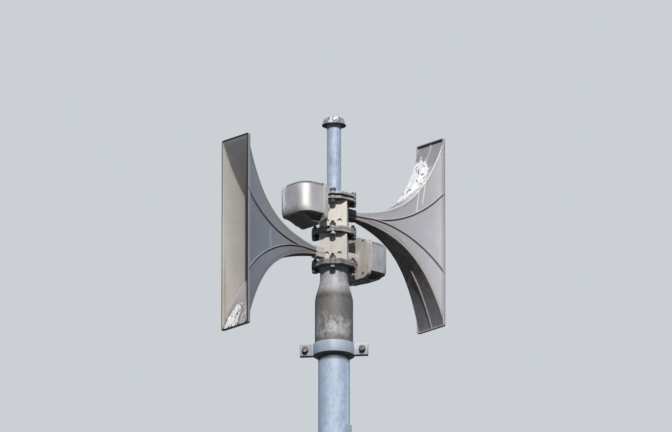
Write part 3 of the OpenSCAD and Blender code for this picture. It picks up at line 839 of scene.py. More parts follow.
def turned(work, outline, around=20, closed=False):
    """An outline of (radius, height) turned round the Z axis, closed or with flat ends."""
    rings = []
    for radius, height in outline:
        points = circle(radius, height, around) if radius else [(0, 0, height)]
        rings.append([work.verts.new(point) for point in points])
    for low, high in zip(rings, rings[1:]):
        bridge(work, low, high)
    if closed:
        bridge(work, rings[-1], rings[0])
    elif len(rings[0]) > 1:
        work.faces.new(rings[0][::-1])
        work.faces.new(rings[-1])


def dress(name, nodes, width, material, slot):
    """A piece that is a softened copy of the nodes it stands for."""
    place(name, softened(nodes, width), material, slot, *nodes)


def lathe(name, outline, around=112, closed=True):
    work = bmesh.new()
    turned(work, outline, around, closed)
    return to_mesh(name, work, clean=True)


def rounded(outline, radius, steps):
    """Rounds the corners of a closed outline of (x, y) points."""
    result = []
    for i, point in enumerate(outline):
        here = Vector(point)
        back = Vector(outline[i - 1]) - here
        ahead = Vector(outline[(i + 1) % len(outline)]) - here
        reach = min(radius, back.length * 0.45, ahead.length * 0.45)
        start = here + back.normalized() * reach
        end = here + ahead.normalized() * reach
        for k in range(steps + 1):
            t = k / steps
            result.append(tuple(start * (1 - t) ** 2 + here * 2 * t * (1 - t) + end * t ** 2))
    return result


def made_tree(title, **inputs):
    """Turns a function that fills a geometry tree into one that returns the tree.

    Its inputs are numbers with their defaults, or kinds of sockets. The function returns the
    geometry, which is made real and given its material.
    """
    def wrap(fill):
        def tree():
            return bpy.data.node_groups.get(title) or new_tree(title, inputs, fill)
        return tree
    return wrap


def new_tree(title, inputs, fill):
    group = bpy.data.node_groups.new(title, "GeometryNodeTree")
    for name, value in {"Geometry": "Geometry", **inputs, "Material": "Material"}.items():
        kind = {float: "Float", int: "Int"}.get(type(value), value)
        socket = group.interface.new_socket(name.replace("_", " "), in_out="INPUT",
                                            socket_type=f"NodeSocket{kind}")
        if kind != value:
            socket.default_value = value
    group.interface.new_socket("Geometry", in_out="OUTPUT", socket_type="NodeSocketGeometry")
    make = Maker(group)
    outputs = make.add("NodeGroupInput").outputs
    given = {socket.name: Value(make, socket) for socket in outputs if socket.name}
    real = make.get("GeometryNodeRealizeInstances", {0: fill(make, given)})
    shaded = make.get("GeometryNodeSetMaterial", {0: real, "Material": given["Material"]})
    make.add("NodeGroupOutput", {0: shaded})
    return group


def grown(group, name, base, **values):
    """The mesh that a tree makes of a base mesh, with the tree's inputs set."""
    holder = linked(name, base)
    modifier = holder.modifiers.new(group.name, "NODES")
    modifier.node_group = group
    values = {key.replace("_", " "): value for key, value in values.items()}
    for item in group.interface.items_tree:
        if item.item_type == "SOCKET" and item.in_out == "INPUT" and item.name in values:
            modifier[item.identifier] = values[item.name]
    bpy.context.view_layer.update()
    seen = holder.evaluated_get(bpy.context.evaluated_depsgraph_get())
    mesh = bpy.data.meshes.new_from_object(seen)
    holder.modifiers.clear()
    bpy.data.objects.remove(holder)
    bpy.data.meshes.remove(base)
    if not mesh.polygons:
        raise RuntimeError(f"the tree {group.name} made no faces for {name}")
    mesh.name = name
    return mesh


def path_mesh(*lines, closed=False):
    """Edges along each line of points, which all run open or all close."""
    verts, edges = [], []
    for points in lines:
        first, count = len(verts), len(points)
        verts += points
        edges += [(first + i, first + (i + 1) % count) for i in range(count - 1 + closed)]
    return raw_mesh("path", verts, edges)


def raw_mesh(name, verts, edges=()):
    mesh = bpy.data.meshes.new(name)
    mesh.from_pydata([tuple(vert) for vert in verts], edges, [])
    return mesh


def sweep(make, given, shape):
    path = make.get("GeometryNodeMeshToCurve", {0: given["Geometry"]})
    return make.get("GeometryNodeCurveToMesh", {"Curve": path, "Profile Curve": shape,
                                                "Fill Caps": True})


@made_tree("Bar along a path", Width=0.004, Height=0.004, Rounding=0.001)
def bar_tree(make, given):
    """Lays a bar with rounded corners along paths of edges."""
    shape = make.get("GeometryNodeCurvePrimitiveQuadrilateral",
                     {"Width": given["Width"], "Height": given["Height"]})
    shape = make.get("GeometryNodeFilletCurve", {"Curve": shape, "Radius": given["Rounding"],
                                                 "Count": 4}, mode="POLY")
    return sweep(make, given, shape)


@made_tree("Bead along a path", Radius=0.003, Unevenness=0.0, Seed=3)
def bead_tree(make, given):
    """Lays a round, slightly uneven bead along paths of edges."""
    shape = make.get("GeometryNodeCurvePrimitiveCircle",
                     {"Resolution": 12, "Radius": given["Radius"]})
    where = make.get("GeometryNodeInputPosition")
    lumps = make.get("ShaderNodeTexNoise", {"Vector": where, "Scale": 190.0, "W": given["Seed"]},
                     noise_dimensions="4D")
    push = make.toned(make.get("GeometryNodeInputNormal"), (lumps - 0.5) * given["Unevenness"])
    return make.get("GeometryNodeSetPosition", {"Geometry": sweep(make, given, shape),
                                                "Offset": push})


def weld(name, base, radius, material):
    return grown(bead_tree(), name, base, Radius=radius, Unevenness=radius * 0.5,
                 Seed=wear().seed, Material=material)


# Horns

@made_tree("Flared horn", Narrow_end=0.09, Mouth=0.45, Narrow_height=0.03, Mouth_height=0.67,
           Narrow_width=0.024, Mouth_width=0.14, Dip=0.04, Bow=0.004, Wall=0.004, Edge=0.004,
           Rings=64)
def horn_tree(make, given):
    """A double-walled duct whose height grows exponentially and whose width bows a little."""
    count = given["Rings"] * 2.0
    line = make.get("GeometryNodeCurvePrimitiveLine", {"Start": (0, 0, 0), "End": (1, 0, 0)})
    path = make.get("GeometryNodeResampleCurve", {"Curve": line, "Count": count})
    ring = make.get("GeometryNodeCurvePrimitiveCircle", {"Resolution": 32, "Radius": 1.0})
    ring = make.get("GeometryNodeTransform", {"Geometry": ring, "Rotation": (0, 0, math.pi / 32)})
    tube = make.get("GeometryNodeCurveToMesh", {"Curve": path, "Profile Curve": ring})
    x, y, z = make.split(make.get("GeometryNodeInputPosition"))
    # Outwards along the outer wall, then back along the inner wall
    inner = x.above(0.5)
    widest = (count - 2.0) / (count - 1.0)
    along = ((1.0 - abs(x * 2.0 - 1.0)) / widest).least(1.0)
    r = given["Narrow end"] + (given["Mouth"] - given["Narrow end"]) * along
    tall = flare_height(along, given["Narrow height"], given["Mouth height"], given["Dip"])
    wide = flare_width(along, given["Narrow width"], given["Mouth width"], given["Bow"])
    wall = inner * given["Wall"]
    edge = given["Edge"] - wall * 0.35

    def on_wall(value, size):
        return value.sign() * (size * 0.5 - wall - edge) + value * edge

    spot = make.get("ShaderNodeCombineXYZ", {0: r, 1: on_wall(y, wide), 2: on_wall(z, tall)})
    marked = make.add("GeometryNodeStoreNamedAttribute", {"Geometry": tube, "Name": "inner"},
                      data_type="FLOAT", domain="POINT")
    make.put(next(s for s in marked.inputs if s.name == "Value" and s.enabled), inner)
    return make.get("GeometryNodeSetPosition", {"Geometry": Value(make, marked.outputs[0]),
                                                "Position": spot})


def half_height(r):
    """Half the horn's height at a distance from the axis, a number or a value."""
    s = sizes()
    along = (r - THROAT_R) / (MOUTH_R - THROAT_R)
    return flare_height(along, s.throat_h, MOUTH_H, s.flare_dip) * 0.5


def half_width(r):
    s = sizes()
    along = (r - THROAT_R) / (MOUTH_R - THROAT_R)
    return flare_width(along, s.throat_w, s.plate_w, s.plate_bow) * 0.5


def rib_circle():
    """Fork distance, and the centre and radius of the arc of an upper side rib."""
    s = sizes()
    run = MOUTH_R - s.rib_fork
    lean = math.atan2(s.rib_end, run)
    rise = math.sqrt(s.rib_bend ** 2 - (run * run + s.rib_end ** 2) / 4)
    return (s.rib_fork, s.rib_fork + run / 2 - rise * math.sin(lean),
            s.rib_end / 2 + rise * math.cos(lean), s.rib_bend)


def rib_points(up):
    """Centre line of a side rib in (distance, height), straight and then an arc."""
    fork, cx, cz, bend = rib_circle()
    start = THROAT_R + 0.002
    first = math.atan2(-cz, fork - cx)
    last = math.atan2(sizes().rib_end - cz, MOUTH_R - sizes().rim_deep - cx)
    line = [(start + (fork - start) * i / 8, 0.0) for i in range(8)]
    bent = arc(cx, cz, bend, math.degrees(first), math.degrees(last), 28)
    return [(r, up * h) for r, h in (line if up > 0 else []) + bent]


def horn_ribs(material):
    proud = 0.0004
    lines = [[(r, side * (half_width(r) + proud), h) for r, h in rib_points(up)]
             for side in (-1, 1) for up in (1, -1)]
    return grown(bead_tree(), "ribs", path_mesh(*lines), Radius=sizes().rib_r, Unevenness=0.0,
                 Material=material)


def horn_rim(material):
    s = sizes()
    half_w, half_h = (s.mouth_w - s.rim_t) / 2, (MOUTH_H - s.rim_t) / 2
    outline = rounded([(-half_w, -half_h), (half_w, -half_h), (half_w, half_h),
                       (-half_w, half_h)], radius=0.004, steps=5)
    points = [(MOUTH_R - s.rim_deep / 2, y, z) for y, z in outline]
    return grown(bar_tree(), "rim", path_mesh(points, closed=True), Width=s.rim_deep,
                 Height=s.rim_t, Rounding=0.0011, Material=material)


def back_webs():
    """Upright webs on the top and bottom sheets that carry the rim."""
    start, end = 0.354, MOUTH_R - 0.001
    tall, half_t, sunk = 0.01, 0.002, 0.002
    work = bmesh.new()
    for up in (1, -1):
        for_r = [start + (end - start) * i / 20 for i in range(21)]
        outer = [(r, min(half_height(r) + tall, MOUTH_H / 2 - 0.001)) for r in for_r]
        outer[0] = (start, half_height(start) + 0.002)
        foot = [(r, half_height(r) - sunk) for r in reversed(for_r)]
        rows = [[work.verts.new((r, side, up * h)) for r, h in outer + foot]
                for side in (-half_t, half_t)]
        for row in rows:
            for i in range(len(for_r) - 1):
                work.faces.new([row[i], row[i + 1], row[-2 - i], row[-1 - i]])
        bridge(work, *rows)
    return to_mesh("webs", work, clean=True)


def horn_mesh(side, material):
    s = sizes()
    shell = grown(horn_tree(), "shell", path_mesh([(0, 0, 0), (1, 0, 0)]), Narrow_end=THROAT_R,
                  Mouth=MOUTH_R, Narrow_height=s.throat_h, Mouth_height=MOUTH_H,
                  Narrow_width=s.throat_w, Mouth_width=s.plate_w, Dip=s.flare_dip,
                  Bow=s.plate_bow, Wall=s.horn_wall, Edge=s.horn_edge, Rings=s.rings,
                  Material=material)
    work = bmesh.new()
    work.from_mesh(shell)
    bmesh.ops.bridge_loops(work, edges=[e for e in work.edges if e.is_boundary])
    bmesh.ops.recalc_face_normals(work, faces=work.faces)
    work.to_mesh(shell)
    work.free()
    mesh = joined(f"{side}_horn", [shell, horn_ribs(material), horn_rim(material), back_webs()])
    mesh.transform(side_matrix(side, "upper"))
    return mesh


def side_matrix(side, straight):
    """Moves a mesh to a horn's level, turned half round unless it is the straight side."""
    turn = Matrix.Rotation(0 if side == straight else math.pi, 4, "Z")
    return Matrix.Translation((0, 0, HORN_Z[side])) @ turn


# Drivers

# The photo shows a thinner base nearer the mast, and a wider and deeper hood, than the solids
WIDER = 0.009
BASE_SOLID = span("lower_driver_base", 0)[0]
BASE_FROM = BASE_SOLID - 0.007
BASE_THINNED = 0.75
BASE_WIDENED = 1 + WIDER / span("lower_driver_base", 1)[1]
COVER_FROM = span("lower_driver_cover", 0)[0] - 0.012
COVER_TO = span("lower_driver_cover", 0)[1] + 0.001
COVER_HALF = span("lower_driver_cover", 1)[1] + WIDER
COVER_DOWN = span("lower_driver_cover", 2)[0] - HORN_Z["lower"] - 0.011
COVER_UP = span("lower_driver_cover", 2)[1] - HORN_Z["lower"]
# Heights over the driver's middle: the walls' lower end, the nose's start, the pan's edge
COVER_TURN = -0.043
NOSE_TOP = -0.02
PAN_EDGE = -0.069
COVER_IN = 0.024
COVER_TOP_R = 0.019
COVER_CORNER = 0.041
COVER_LIP = 0.0028
NOSE_TALL = 0.037
NOSE_DEEP = 0.026
PAN_CORNER = 0.007


def nose(h):
    """How far the hood's front lies in at a height, curving under like a quarter of an oval."""
    down = max(0.0, NOSE_TOP - h)
    if down < NOSE_TALL:
        return NOSE_DEEP * (1 - math.sqrt(1 - (down / NOSE_TALL) ** 2))
    slope = (COVER_TO - COVER_FROM - NOSE_DEEP - 0.006) / (NOSE_TOP - NOSE_TALL - COVER_DOWN)
    return NOSE_DEEP + (down - NOSE_TALL) * slope


def to_pan(h):
    """Share of the way from the walls' lower end down to the pan's edge."""
    return min(1.0, max(0.0, (COVER_TURN - h) / (COVER_TURN - PAN_EDGE)))


def cove(h):
    """How far the sides lie in below the walls, hollow down to the edge of the pan."""
    hollow = math.sqrt(1 - (1 - to_pan(h)) ** 2)
    return COVER_LIP + COVER_IN * hollow + max(0.0, PAN_EDGE - h) * 1.5


def corner(h):
    """Radius of the hood's upright corners, tighter below the walls."""
    return COVER_CORNER + (PAN_CORNER - COVER_CORNER) * to_pan(h)


def cover_rings():
    """Heights from the bottom up, each with how far the front and the sides lie in."""
    wall_end = COVER_TURN - 0.0012
    heights = [COVER_DOWN + (wall_end - COVER_DOWN) * i / 18 for i in range(19)]
    rings = [(h, nose(h), cove(h)) for h in heights]
    # The side walls end in a crisp edge that stands out over the hollow
    rings.append((wall_end, nose(wall_end), 0.0006))
    heights = [wall_end + 0.0008 + (NOSE_TOP - wall_end) * i / 8 for i in range(9)]
    rings += [(h, nose(h), 0.0) for h in heights]
    top_edge = arc(COVER_TOP_R, COVER_UP - COVER_TOP_R, COVER_TOP_R, 180, 90, 8)
    return rings + [(h, inset, inset) for inset, h in top_edge]


def cover_outline(h, front, sides):
    """The hood's outline at a height, with two round front corners."""
    half = COVER_HALF - sides
    to = COVER_TO - front
    radius = max(0.002, min(corner(h), to - COVER_FROM - 0.001))
    return [(COVER_FROM, -half), *arc(to - radius, radius - half, radius, -90, 0, 12),
            *arc(to - radius, half - radius, radius, 0, 90, 12), (COVER_FROM, half)]


def cover_mesh():
    """Hood with rounded upright corners, a domed top and a keel-like underside."""
    work = bmesh.new()
    rings = [[work.verts.new((x, y, h)) for x, y in cover_outline(h, front, sides)]
             for h, front, sides in cover_rings()]
    for low, high in zip(rings, rings[1:]):
        bridge(work, low, high)
    # A low dome closes the top
    top = rings[-1]
    centre = sum((v.co for v in top), Vector()) / len(top)
    for factor, fall in ((0.7, 0.0003), (0.35, 0.0)):
        inner = [work.verts.new(centre.lerp(v.co, factor) - Vector((0, 0, fall)))
                 for v in rings[-1]]
        bridge(work, top, inner)
        top = inner
    work.faces.new(top)
    work.faces.new(rings[0][::-1])
    mesh = to_mesh("cover", work, clean=True)
    mesh.materials.append(cover_finish())
    return mesh


def cover_lip():
    """Raised lip where the cover meets its base."""
    half, keel, low, thick = COVER_HALF, COVER_HALF - COVER_IN, COVER_DOWN + 0.001, 0.0036
    outline = rounded([(-keel, low), (keel, low), (half, COVER_TURN), (half, COVER_UP),
                       (-half, COVER_UP), (-half, COVER_TURN)], radius=0.014, steps=6)
    path = path_mesh([(COVER_FROM + 0.002, y, z) for y, z in outline], closed=True)
    return grown(bar_tree(), "lip", path, Width=thick, Height=thick, Rounding=0.0011,
                 Material=bare_edge())


def pan_edges():
    """The pan's edges, from the nose down round it, then straight back to the base."""
    heights = [COVER_TURN + (PAN_EDGE - COVER_TURN) * i / 16 for i in range(17)]
    edge = [(COVER_TO - nose(h) - corner(h) * 0.3,
             COVER_HALF - cove(h) - corner(h) * 0.3 + 0.0006, h) for h in heights]
    edge.append((COVER_FROM + 0.001, COVER_HALF - cove(PAN_EDGE), PAN_EDGE))
    edges = [[(x, side * y, z) for x, y, z in edge] for side in (-1, 1)]
    return grown(bead_tree(), "pan edges", path_mesh(*edges), Radius=0.0013, Unevenness=0.0,
                 Material=bare_edge())


def driver_screws():
    """Four screws on the back of a driver's base, and two on its front beside the cover."""
    proud, aside, levels = 0.0002, 0.049, (-0.052, 0.066)
    front_aside, front_level = 0.0565 + WIDER, -0.0525
    back = [(BASE_FROM + proud, y, z) for y in (-aside, aside) for z in levels]
    front = [(COVER_FROM - proud, y, front_level) for y in (-front_aside, front_aside)]
    return joined("screws", [set_out("screws", points, screw_mesh(), (0, math.radians(turn), 0))
                             for points, turn in ((back, -90), (front, 90))])


# Bolts and screws

# Lengths under the head
FLANGE_BOLT = 0.044
CLAMP_BOLT = 0.052


def hexagon(work, across, low, high, low_share=0.9, high_share=0.9):
    """Six-sided head, whose ends are chamfered to a share of its width."""
    radius = across / 2 / math.cos(math.pi / 6)
    chamfer = 0.0012
    turned(work, [(radius * low_share, low), (radius, low + chamfer), (radius, high - chamfer),
                  (radius * high_share, high)], 6)


def bolt_mesh(grip, under_head):
    """Bolt with washers, spring washer, nut and threaded end, head below z = 0."""
    across = sizes().hex_af
    work = bmesh.new()
    turned(work, [(0.0115, -0.0025), (0.012, -0.002), (0.012, -0.0004), (0.0115, 0)])
    turned(work, [(0.0094, -0.006), (0.01, -0.0055), (0.01, -0.003), (0.0094, -0.0025)])
    hexagon(work, across, -0.0135, -0.006, high_share=1.0)
    turned(work, [(0.0115, grip), (0.012, grip + 0.0004), (0.012, grip + 0.002),
                  (0.0115, grip + 0.0025)])
    hexagon(work, across, grip + 0.0025, grip + 0.0125)
    end = under_head - 0.006
    thread = [(0.0055, grip - 0.001)]
    z = grip + 0.0105
    while z < end - 0.0018:
        thread += [(0.006, z), (0.006, z + 0.0004), (0.0053, z + 0.0009)]
        z += 0.00175
    thread += [(0.0055, end - 0.0008), (0.0046, end)]
    turned(work, thread, 16)
    turned(work, [(0.006, -0.002), (0.006, grip + 0.001)], 16)
    return to_mesh("bolt", work)


def screw_mesh():
    work = bmesh.new()
    turned(work, [(0.0042, -0.001), (0.0045, 0.0006), (0.0041, 0.0018), (0.003, 0.0026),
                  (0.0014, 0.0028), (0.0012, 0.0016), (0.0004, 0.0014)], 14)
    return to_mesh("screw", work)


@made_tree("Set out fasteners", Fastener="Object", Direction="Rotation", Seed=3)
def fastener_tree(make, given):
    """Sets a fastener out on points, each turned by its own random angle."""
    source = make.get("GeometryNodeObjectInfo", {"Object": given["Fastener"]}, "Geometry")
    spin = make.add("FunctionNodeRandomValue", {"Seed": given["Seed"]}, data_type="FLOAT")
    low, high = [s for s in spin.inputs if s.name in ("Min", "Max") and s.enabled]
    low.default_value = 0.0
    high.default_value = math.pi / 3
    turn = Value(make, next(s for s in spin.outputs if s.enabled))
    own = make.get("FunctionNodeEulerToRotation",
                   {0: make.get("ShaderNodeCombineXYZ", {"Z": turn})})
    both = make.get("FunctionNodeRotateRotation", {"Rotation": given["Direction"],
                                                   "Rotate By": own}, rotation_space="LOCAL")
    return make.get("GeometryNodeInstanceOnPoints", {
        "Points": given["Geometry"], "Instance": source, "Rotation": both})


def set_out(name, points, fastener, direction):
    source = linked("fastener", fastener)
    mesh = grown(fastener_tree(), name, raw_mesh("points", points), Fastener=source,
                 Direction=direction, Seed=wear().seed, Material=bolt_finish())
    bpy.data.objects.remove(source)
    bpy.data.meshes.remove(fastener)
    return mesh


# Operators

class SIREN_OT_mast(bpy.types.Operator):
    """Makes the mast tube, its base and the clip"""
    bl_idname = "siren.mast"
    bl_label = "Mast"

    def execute(self, context):
        r = sizes().pole_r
        steel, slot = galvanized(), "galvanized_steel"
        low, high = span("mast_pole", 2)
        wall, ease = 0.005, 0.0005
        tube = lathe("mast_pole", [(r - wall, low), (r - ease, low), (r, low + ease), (r, high),
                                   (r - wall, high)])
        place("mast_tube", tube, steel, slot, "mast_pole")
        dress("base", ["base_plate"], 0.002, steel, slot)
        dress("gussets", ["base_gussets"], 0.0012, steel, slot)
        welds = weld("base_welds", foot_seams(low), 0.0032, steel)
        place("base_welds", welds, steel, slot, crease=60)
        clip = softened(["pole_clip"], 0.0008)
        strip_top = span("pole_clip", 2)[1]
        for vert in clip.vertices:
            if vert.co.z > strip_top - ease * 4:
                vert.co.z += STRIP_LONGER
        place("clip", clip, steel, slot, "pole_clip")
        return {"FINISHED"}


def foot_seams(low):
    """Paths of the welds round the mast's foot and along both faces of each gusset."""
    r = sizes().pole_r
    gusset_half, gusset_long, gusset_tall, proud = 0.0045, 0.07, 0.12, 0.0005
    lines = []
    for i in range(4):
        turn = Matrix.Rotation(math.pi / 2 * i, 3, "Z")
        for side in (-gusset_half, gusset_half):
            flat = [(r + 0.008 + gusset_long * k / 12, side, low + proud) for k in range(13)]
            upright = [(r + proud, side, low + 0.01 + gusset_tall * k / 14) for k in range(15)]
            lines += [[turn @ Vector(p) for p in line] for line in (flat, upright)]
    ring = path_mesh(circle(r + 0.001, low + 0.001), closed=True)
    return joined("seams", [ring, path_mesh(*lines)])


class SIREN_OT_adapter(bpy.types.Operator):
    """Makes the adapter over the mast and its clamp"""
    bl_idname = "siren.adapter"
    bl_label = "Adapter"

    def execute(self, context):
        s = sizes()
        seat, bore, ease = s.pole_r + 0.0003, 0.035, 0.0008
        outline = [(seat, SLEEVE_FOOT), (s.sleeve_r - ease, SLEEVE_FOOT),
                   (s.sleeve_r, SLEEVE_FOOT + ease)]
        for i in range(29):
            t = i / 28
            wider = (s.sleeve_r - s.neck_r) * (1 + math.cos(math.pi * t)) / 2
            outline.append((s.neck_r + wider, REDUCER_FOOT + REDUCER_TALL * t))
        outline += [(s.neck_r, NECK_TOP), (bore, NECK_TOP), (bore, REDUCER_FOOT),
                    (seat, REDUCER_FOOT)]
        sleeve = lathe("adapter_sleeve", outline)
        place("sleeve", sleeve, weathered(), "weathered_steel", "adapter_sleeve", crease=40)
        seam = path_mesh(circle(s.neck_r + 0.001, NECK_TOP - 0.001), closed=True)
        bead = weld("neck_weld", seam, 0.0028, weathered())
        place("neck_weld", bead, weathered(), "weathered_steel", crease=60)
        dress("adapter_plate", ["adapter_flange"], s.edge, casting(), "weathered_steel")
        dress("clamp", ["clamp_front_half", "clamp_back_half"], 0.0012, galvanized(),
              "galvanized_steel")
        return {"FINISHED"}


class SIREN_OT_bodies(bpy.types.Operator):
    """Makes the two cast bodies with their throats and necks"""
    bl_idname = "siren.bodies"
    bl_label = "Bodies"

    def execute(self, context):
        edge, slot = sizes().edge, "cast_aluminium"
        for side in SIDES:
            dress(f"{side}_casting", [f"{side}_body"], edge, casting(), slot)
            dress(f"{side}_neck", [f"{side}_driver_neck"], edge * 0.7, soiled_casting(), slot)
            # The upper collar takes the horn's finish, whose painted shadow darkens it
            metal = casting() if side == "lower" else horn_finish(side)
            dress(f"{side}_collar", [f"{side}_throat_collar"], edge * 0.7, metal, slot)
        return {"FINISHED"}


class SIREN_OT_horns(bpy.types.Operator):
    """Makes the two flared horns with rims and ribs"""
    bl_idname = "siren.horns"
    bl_label = "Horns"

    def execute(self, context):
        for side in SIDES:
            sheet = horn_finish(side)
            nodes = [f"{side}_horn_{part}" for part in ("top", "bottom", "left", "right")]
            place(f"{side}_horn", horn_mesh(side, sheet), sheet, "horn_aluminium", *nodes,
                  crease=38)
        return {"FINISHED"}


class SIREN_OT_drivers(bpy.types.Operator):
    """Makes the two drivers: base, cover, lip and screws"""
    bl_idname = "siren.drivers"
    bl_label = "Drivers"

    def execute(self, context):
        for side in SIDES:
            cover, plate = f"{side}_driver_cover", f"{side}_driver_base"
            shell = joined("cover", [cover_mesh(), cover_lip(), pan_edges()])
            shell.transform(side_matrix(side, "lower"))
            place(f"{side}_hood", shell, cover_finish(), "driver_aluminium", cover, crease=28)
            base = softened([plate], 0.003, 3)
            for vert in base.vertices:
                depth = (abs(vert.co.x) - BASE_SOLID) * BASE_THINNED
                vert.co.x = math.copysign(BASE_FROM + depth, vert.co.x)
                vert.co.y *= BASE_WIDENED
            place(f"{side}_driver_plate", base, soiled_casting(), "cast_aluminium", plate)
            heads = driver_screws()
            heads.transform(side_matrix(side, "lower"))
            place(f"{side}_screws", heads, bolt_finish(), "bolt_steel")
        return {"FINISHED"}


class SIREN_OT_bolts(bpy.types.Operator):
    """Sets out the flange bolts and the clamp bolts"""
    bl_idname = "siren.bolts"
    bl_label = "Bolts"

    def execute(self, context):
        reach = sizes().bolt_r * math.sqrt(0.5)
        corners = [(reach, reach), (-reach, reach), (-reach, -reach), (reach, -reach)]
        for node, foot, grip in (("adapter_bolts", NECK_TOP, 0.018),
                                 ("middle_bolts", UPPER_BODY[0] - FLANGE_T, 0.018),
                                 ("top_bolts", UPPER_BODY[1] - FLANGE_T, 0.025)):
            points = [(x, y, foot) for x, y in corners]
            mesh = set_out(node, points, bolt_mesh(grip, FLANGE_BOLT), (0, 0, 0))
            place(f"{node}_set", mesh, bolt_finish(), "bolt_steel", node)
        turn = Matrix.Rotation(CLAMP_TURN, 3, "Z")
        ear_middle, ear_back, level = 0.098, -0.0115, SLEEVE_FOOT + 0.02
        points = [turn @ Vector((x, ear_back, level)) for x in (-ear_middle, ear_middle)]
        mesh = set_out("clamp_bolts", points, bolt_mesh(0.023, CLAMP_BOLT),
                       (math.radians(-90), 0, CLAMP_TURN))
        place("clamp_bolt_set", mesh, bolt_finish(), "bolt_steel", "clamp_bolts")
        return {"FINISHED"}


class SIREN_OT_top(bpy.types.Operator):
    """Makes the gasket, plate, pipe and cap on top"""
    bl_idname = "siren.top"
    bl_label = "Top pipe"

    def execute(self, context):
        s = sizes()
        steel, slot = galvanized(), "galvanized_steel"
        dress("gasket", ["top_gasket"], 0.0008, rubber(), "gasket_rubber")
        dress("top_plate", ["pipe_plate"], s.edge, weathered(), "weathered_steel")
        low, high = span("top_pipe", 2)
        inner = s.pipe_r - 0.004
        tube = lathe("top_pipe", [(inner, low), (s.pipe_r, low), (s.pipe_r, high),
                                  (inner, high)], 96)
        place("pipe", tube, steel, slot, "top_pipe")
        seam = path_mesh(circle(s.pipe_r + 0.001, low + 0.001, 72), closed=True)
        place("pipe_weld", weld("pipe_weld", seam, 0.003, steel), steel, slot, crease=60)
        cap = lathe("pipe_cap", cap_outline(), 96, closed=False)
        place("cap", cap, cap_finish(), "cap_metal", "pipe_cap", crease=40)
        return {"FINISHED"}


def cap_outline():
    """From the middle of the cap's top out round its rim, and back in under it."""
    s = sizes()
    foot, head = span("pipe_cap", 2)
    bend, wall = 0.006, 0.002
    outer = arc(s.cap_top_r, head - bend, bend, 90, 0, 8)
    inner = arc(s.cap_top_r, head - bend, bend - wall, 22.5, 90, 3)
    return [(0.0, head), (0.018, head - 0.0002), *outer,
            (s.cap_r - 0.0006, foot + 0.0022), (s.cap_r, foot + 0.0014),
            (s.cap_r, foot + 0.0004), (s.cap_r - 0.0005, foot), (s.cap_r - 0.0018, foot),
            (s.cap_top_r + bend - wall, head - bend), *inner, (0.0, head - wall)]


class SIREN_OT_stage(bpy.types.Operator):
    """Makes the floor, the lights and the camera at the photograph's angle"""
    bl_idname = "siren.stage"
    bl_label = "Stage"

    def execute(self, context):
        scene = context.scene
        stage = scene.siren_stage
        floor = bmesh.new()
        bmesh.ops.create_circle(floor, cap_ends=True, segments=96, radius=FLOOR_R)
        ground = linked("floor", to_mesh("floor", floor))
        ground.data.materials.append(floor_finish())
        data = bpy.data.cameras.new("camera")
        data.lens = stage.lens
        data.sensor_width = 36.0
        data.clip_start, data.clip_end = 0.5, 200.0
        camera = aimed("camera", data, stage.azimuth, stage.elevation, stage.distance)
        # The photo's middle lies a little to the right of the head's and below it
        camera.location += camera.rotation_quaternion @ Vector((0.0068, -0.0154, 0))
        scene.camera = camera
        scene.view_settings.view_transform = "Standard"
        scene.view_settings.look = "None"
        sun("key", 3, 35, stage.key, 2.5, (1.0, 0.97, 0.93))
        sun("fill", 165, 30, stage.fill, 20, (0.92, 0.95, 1.0))
        surroundings(scene, stage.sky)
        return {"FINISHED"}


def aimed(name, data, turn, rise, distance):
    """An object that looks at the siren's head from a direction round the mast."""
    towards = Vector((math.sin(turn) * math.cos(rise), -math.cos(turn) * math.cos(rise),
                      math.sin(rise)))
    thing = linked(name, data)
    thing.rotation_mode = "QUATERNION"
    thing.rotation_quaternion = towards.to_track_quat("Z", "Y")
    thing.location = HEAD + towards * distance
    return thing


def sun(name, aside, rise, strength, size, tone):
    """A sun whose direction is given in degrees from the camera's."""
    lamp = bpy.data.lights.new(name, "SUN")
    lamp.energy = strength
    lamp.angle = math.radians(size)
    lamp.color = tone
    turn = bpy.context.scene.siren_stage.azimuth + math.radians(aside)
    aimed(name, lamp, turn, math.radians(rise), 6)


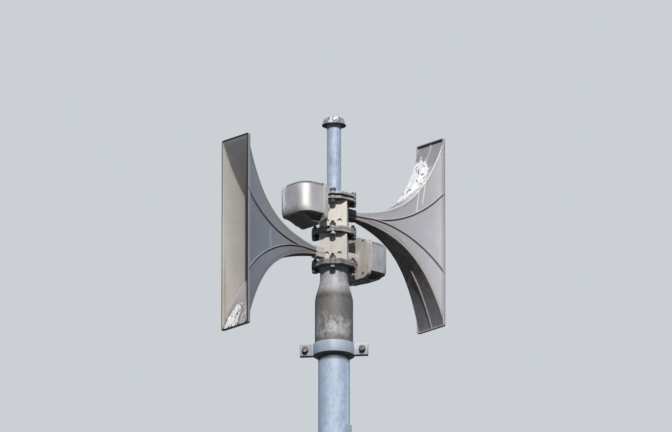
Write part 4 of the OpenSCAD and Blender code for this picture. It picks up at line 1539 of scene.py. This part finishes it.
def surroundings(scene, strength):
    """A blue sky over dull ground for the light, and a plain pale backdrop for the camera."""
    world = bpy.data.worlds.new("surroundings")
    scene.world = world
    world.use_nodes = True
    world.node_tree.nodes.clear()
    make = Maker(world.node_tree)
    height = make.split(make.get("ShaderNodeTexCoord", out="Generated"))[2]
    glow = make.mix(height.ramp(-0.25, 0.3), (0.17, 0.165, 0.17), (0.48, 0.68, 1.0))
    even = make.get("ShaderNodeBackground", {"Color": glow, "Strength": strength})
    seen = make.get("ShaderNodeBackground", {"Color": (0.6, 0.63, 0.66, 1.0), "Strength": 1.0})
    direct = make.get("ShaderNodeLightPath", out="Is Camera Ray")
    both = make.get("ShaderNodeMixShader", {0: direct, 1: even, 2: seen})
    make.add("ShaderNodeOutputWorld", {0: both})


class SIREN_PT_panel(bpy.types.Panel):
    """Lists the steps and the values of the siren"""
    bl_label = "Siren"
    bl_idname = "SIREN_PT_panel"
    bl_space_type = "VIEW_3D"
    bl_region_type = "UI"
    bl_category = "Siren"

    def draw(self, context):
        for step in STEPS:
            self.layout.operator(step.bl_idname)
        for name in GROUPS:
            group = getattr(context.scene, name)
            box = self.layout.box()
            for prop in group.__annotations__:
                box.prop(group, prop)


STEPS = (SIREN_OT_stage, SIREN_OT_mast, SIREN_OT_adapter, SIREN_OT_bodies, SIREN_OT_horns,
         SIREN_OT_drivers, SIREN_OT_bolts, SIREN_OT_top)
GROUPS = {"siren_sizes": SirenSizes, "siren_colours": SirenColours, "siren_wear": SirenWear,
          "siren_stage": SirenStage}


def register():
    for name, group in GROUPS.items():
        bpy.utils.register_class(group)
        setattr(bpy.types.Scene, name, PointerProperty(type=group))
    for step in (*STEPS, SIREN_PT_panel):
        bpy.utils.register_class(step)


def unregister():
    for step in (SIREN_PT_panel, *reversed(STEPS)):
        bpy.utils.unregister_class(step)
    for name, group in GROUPS.items():
        delattr(bpy.types.Scene, name)
        bpy.utils.unregister_class(group)


def main():
    register()
    for step in STEPS:
        group, name = step.bl_idname.split(".")
        getattr(getattr(bpy.ops, group), name)()


if __name__ == "__main__":
    main()
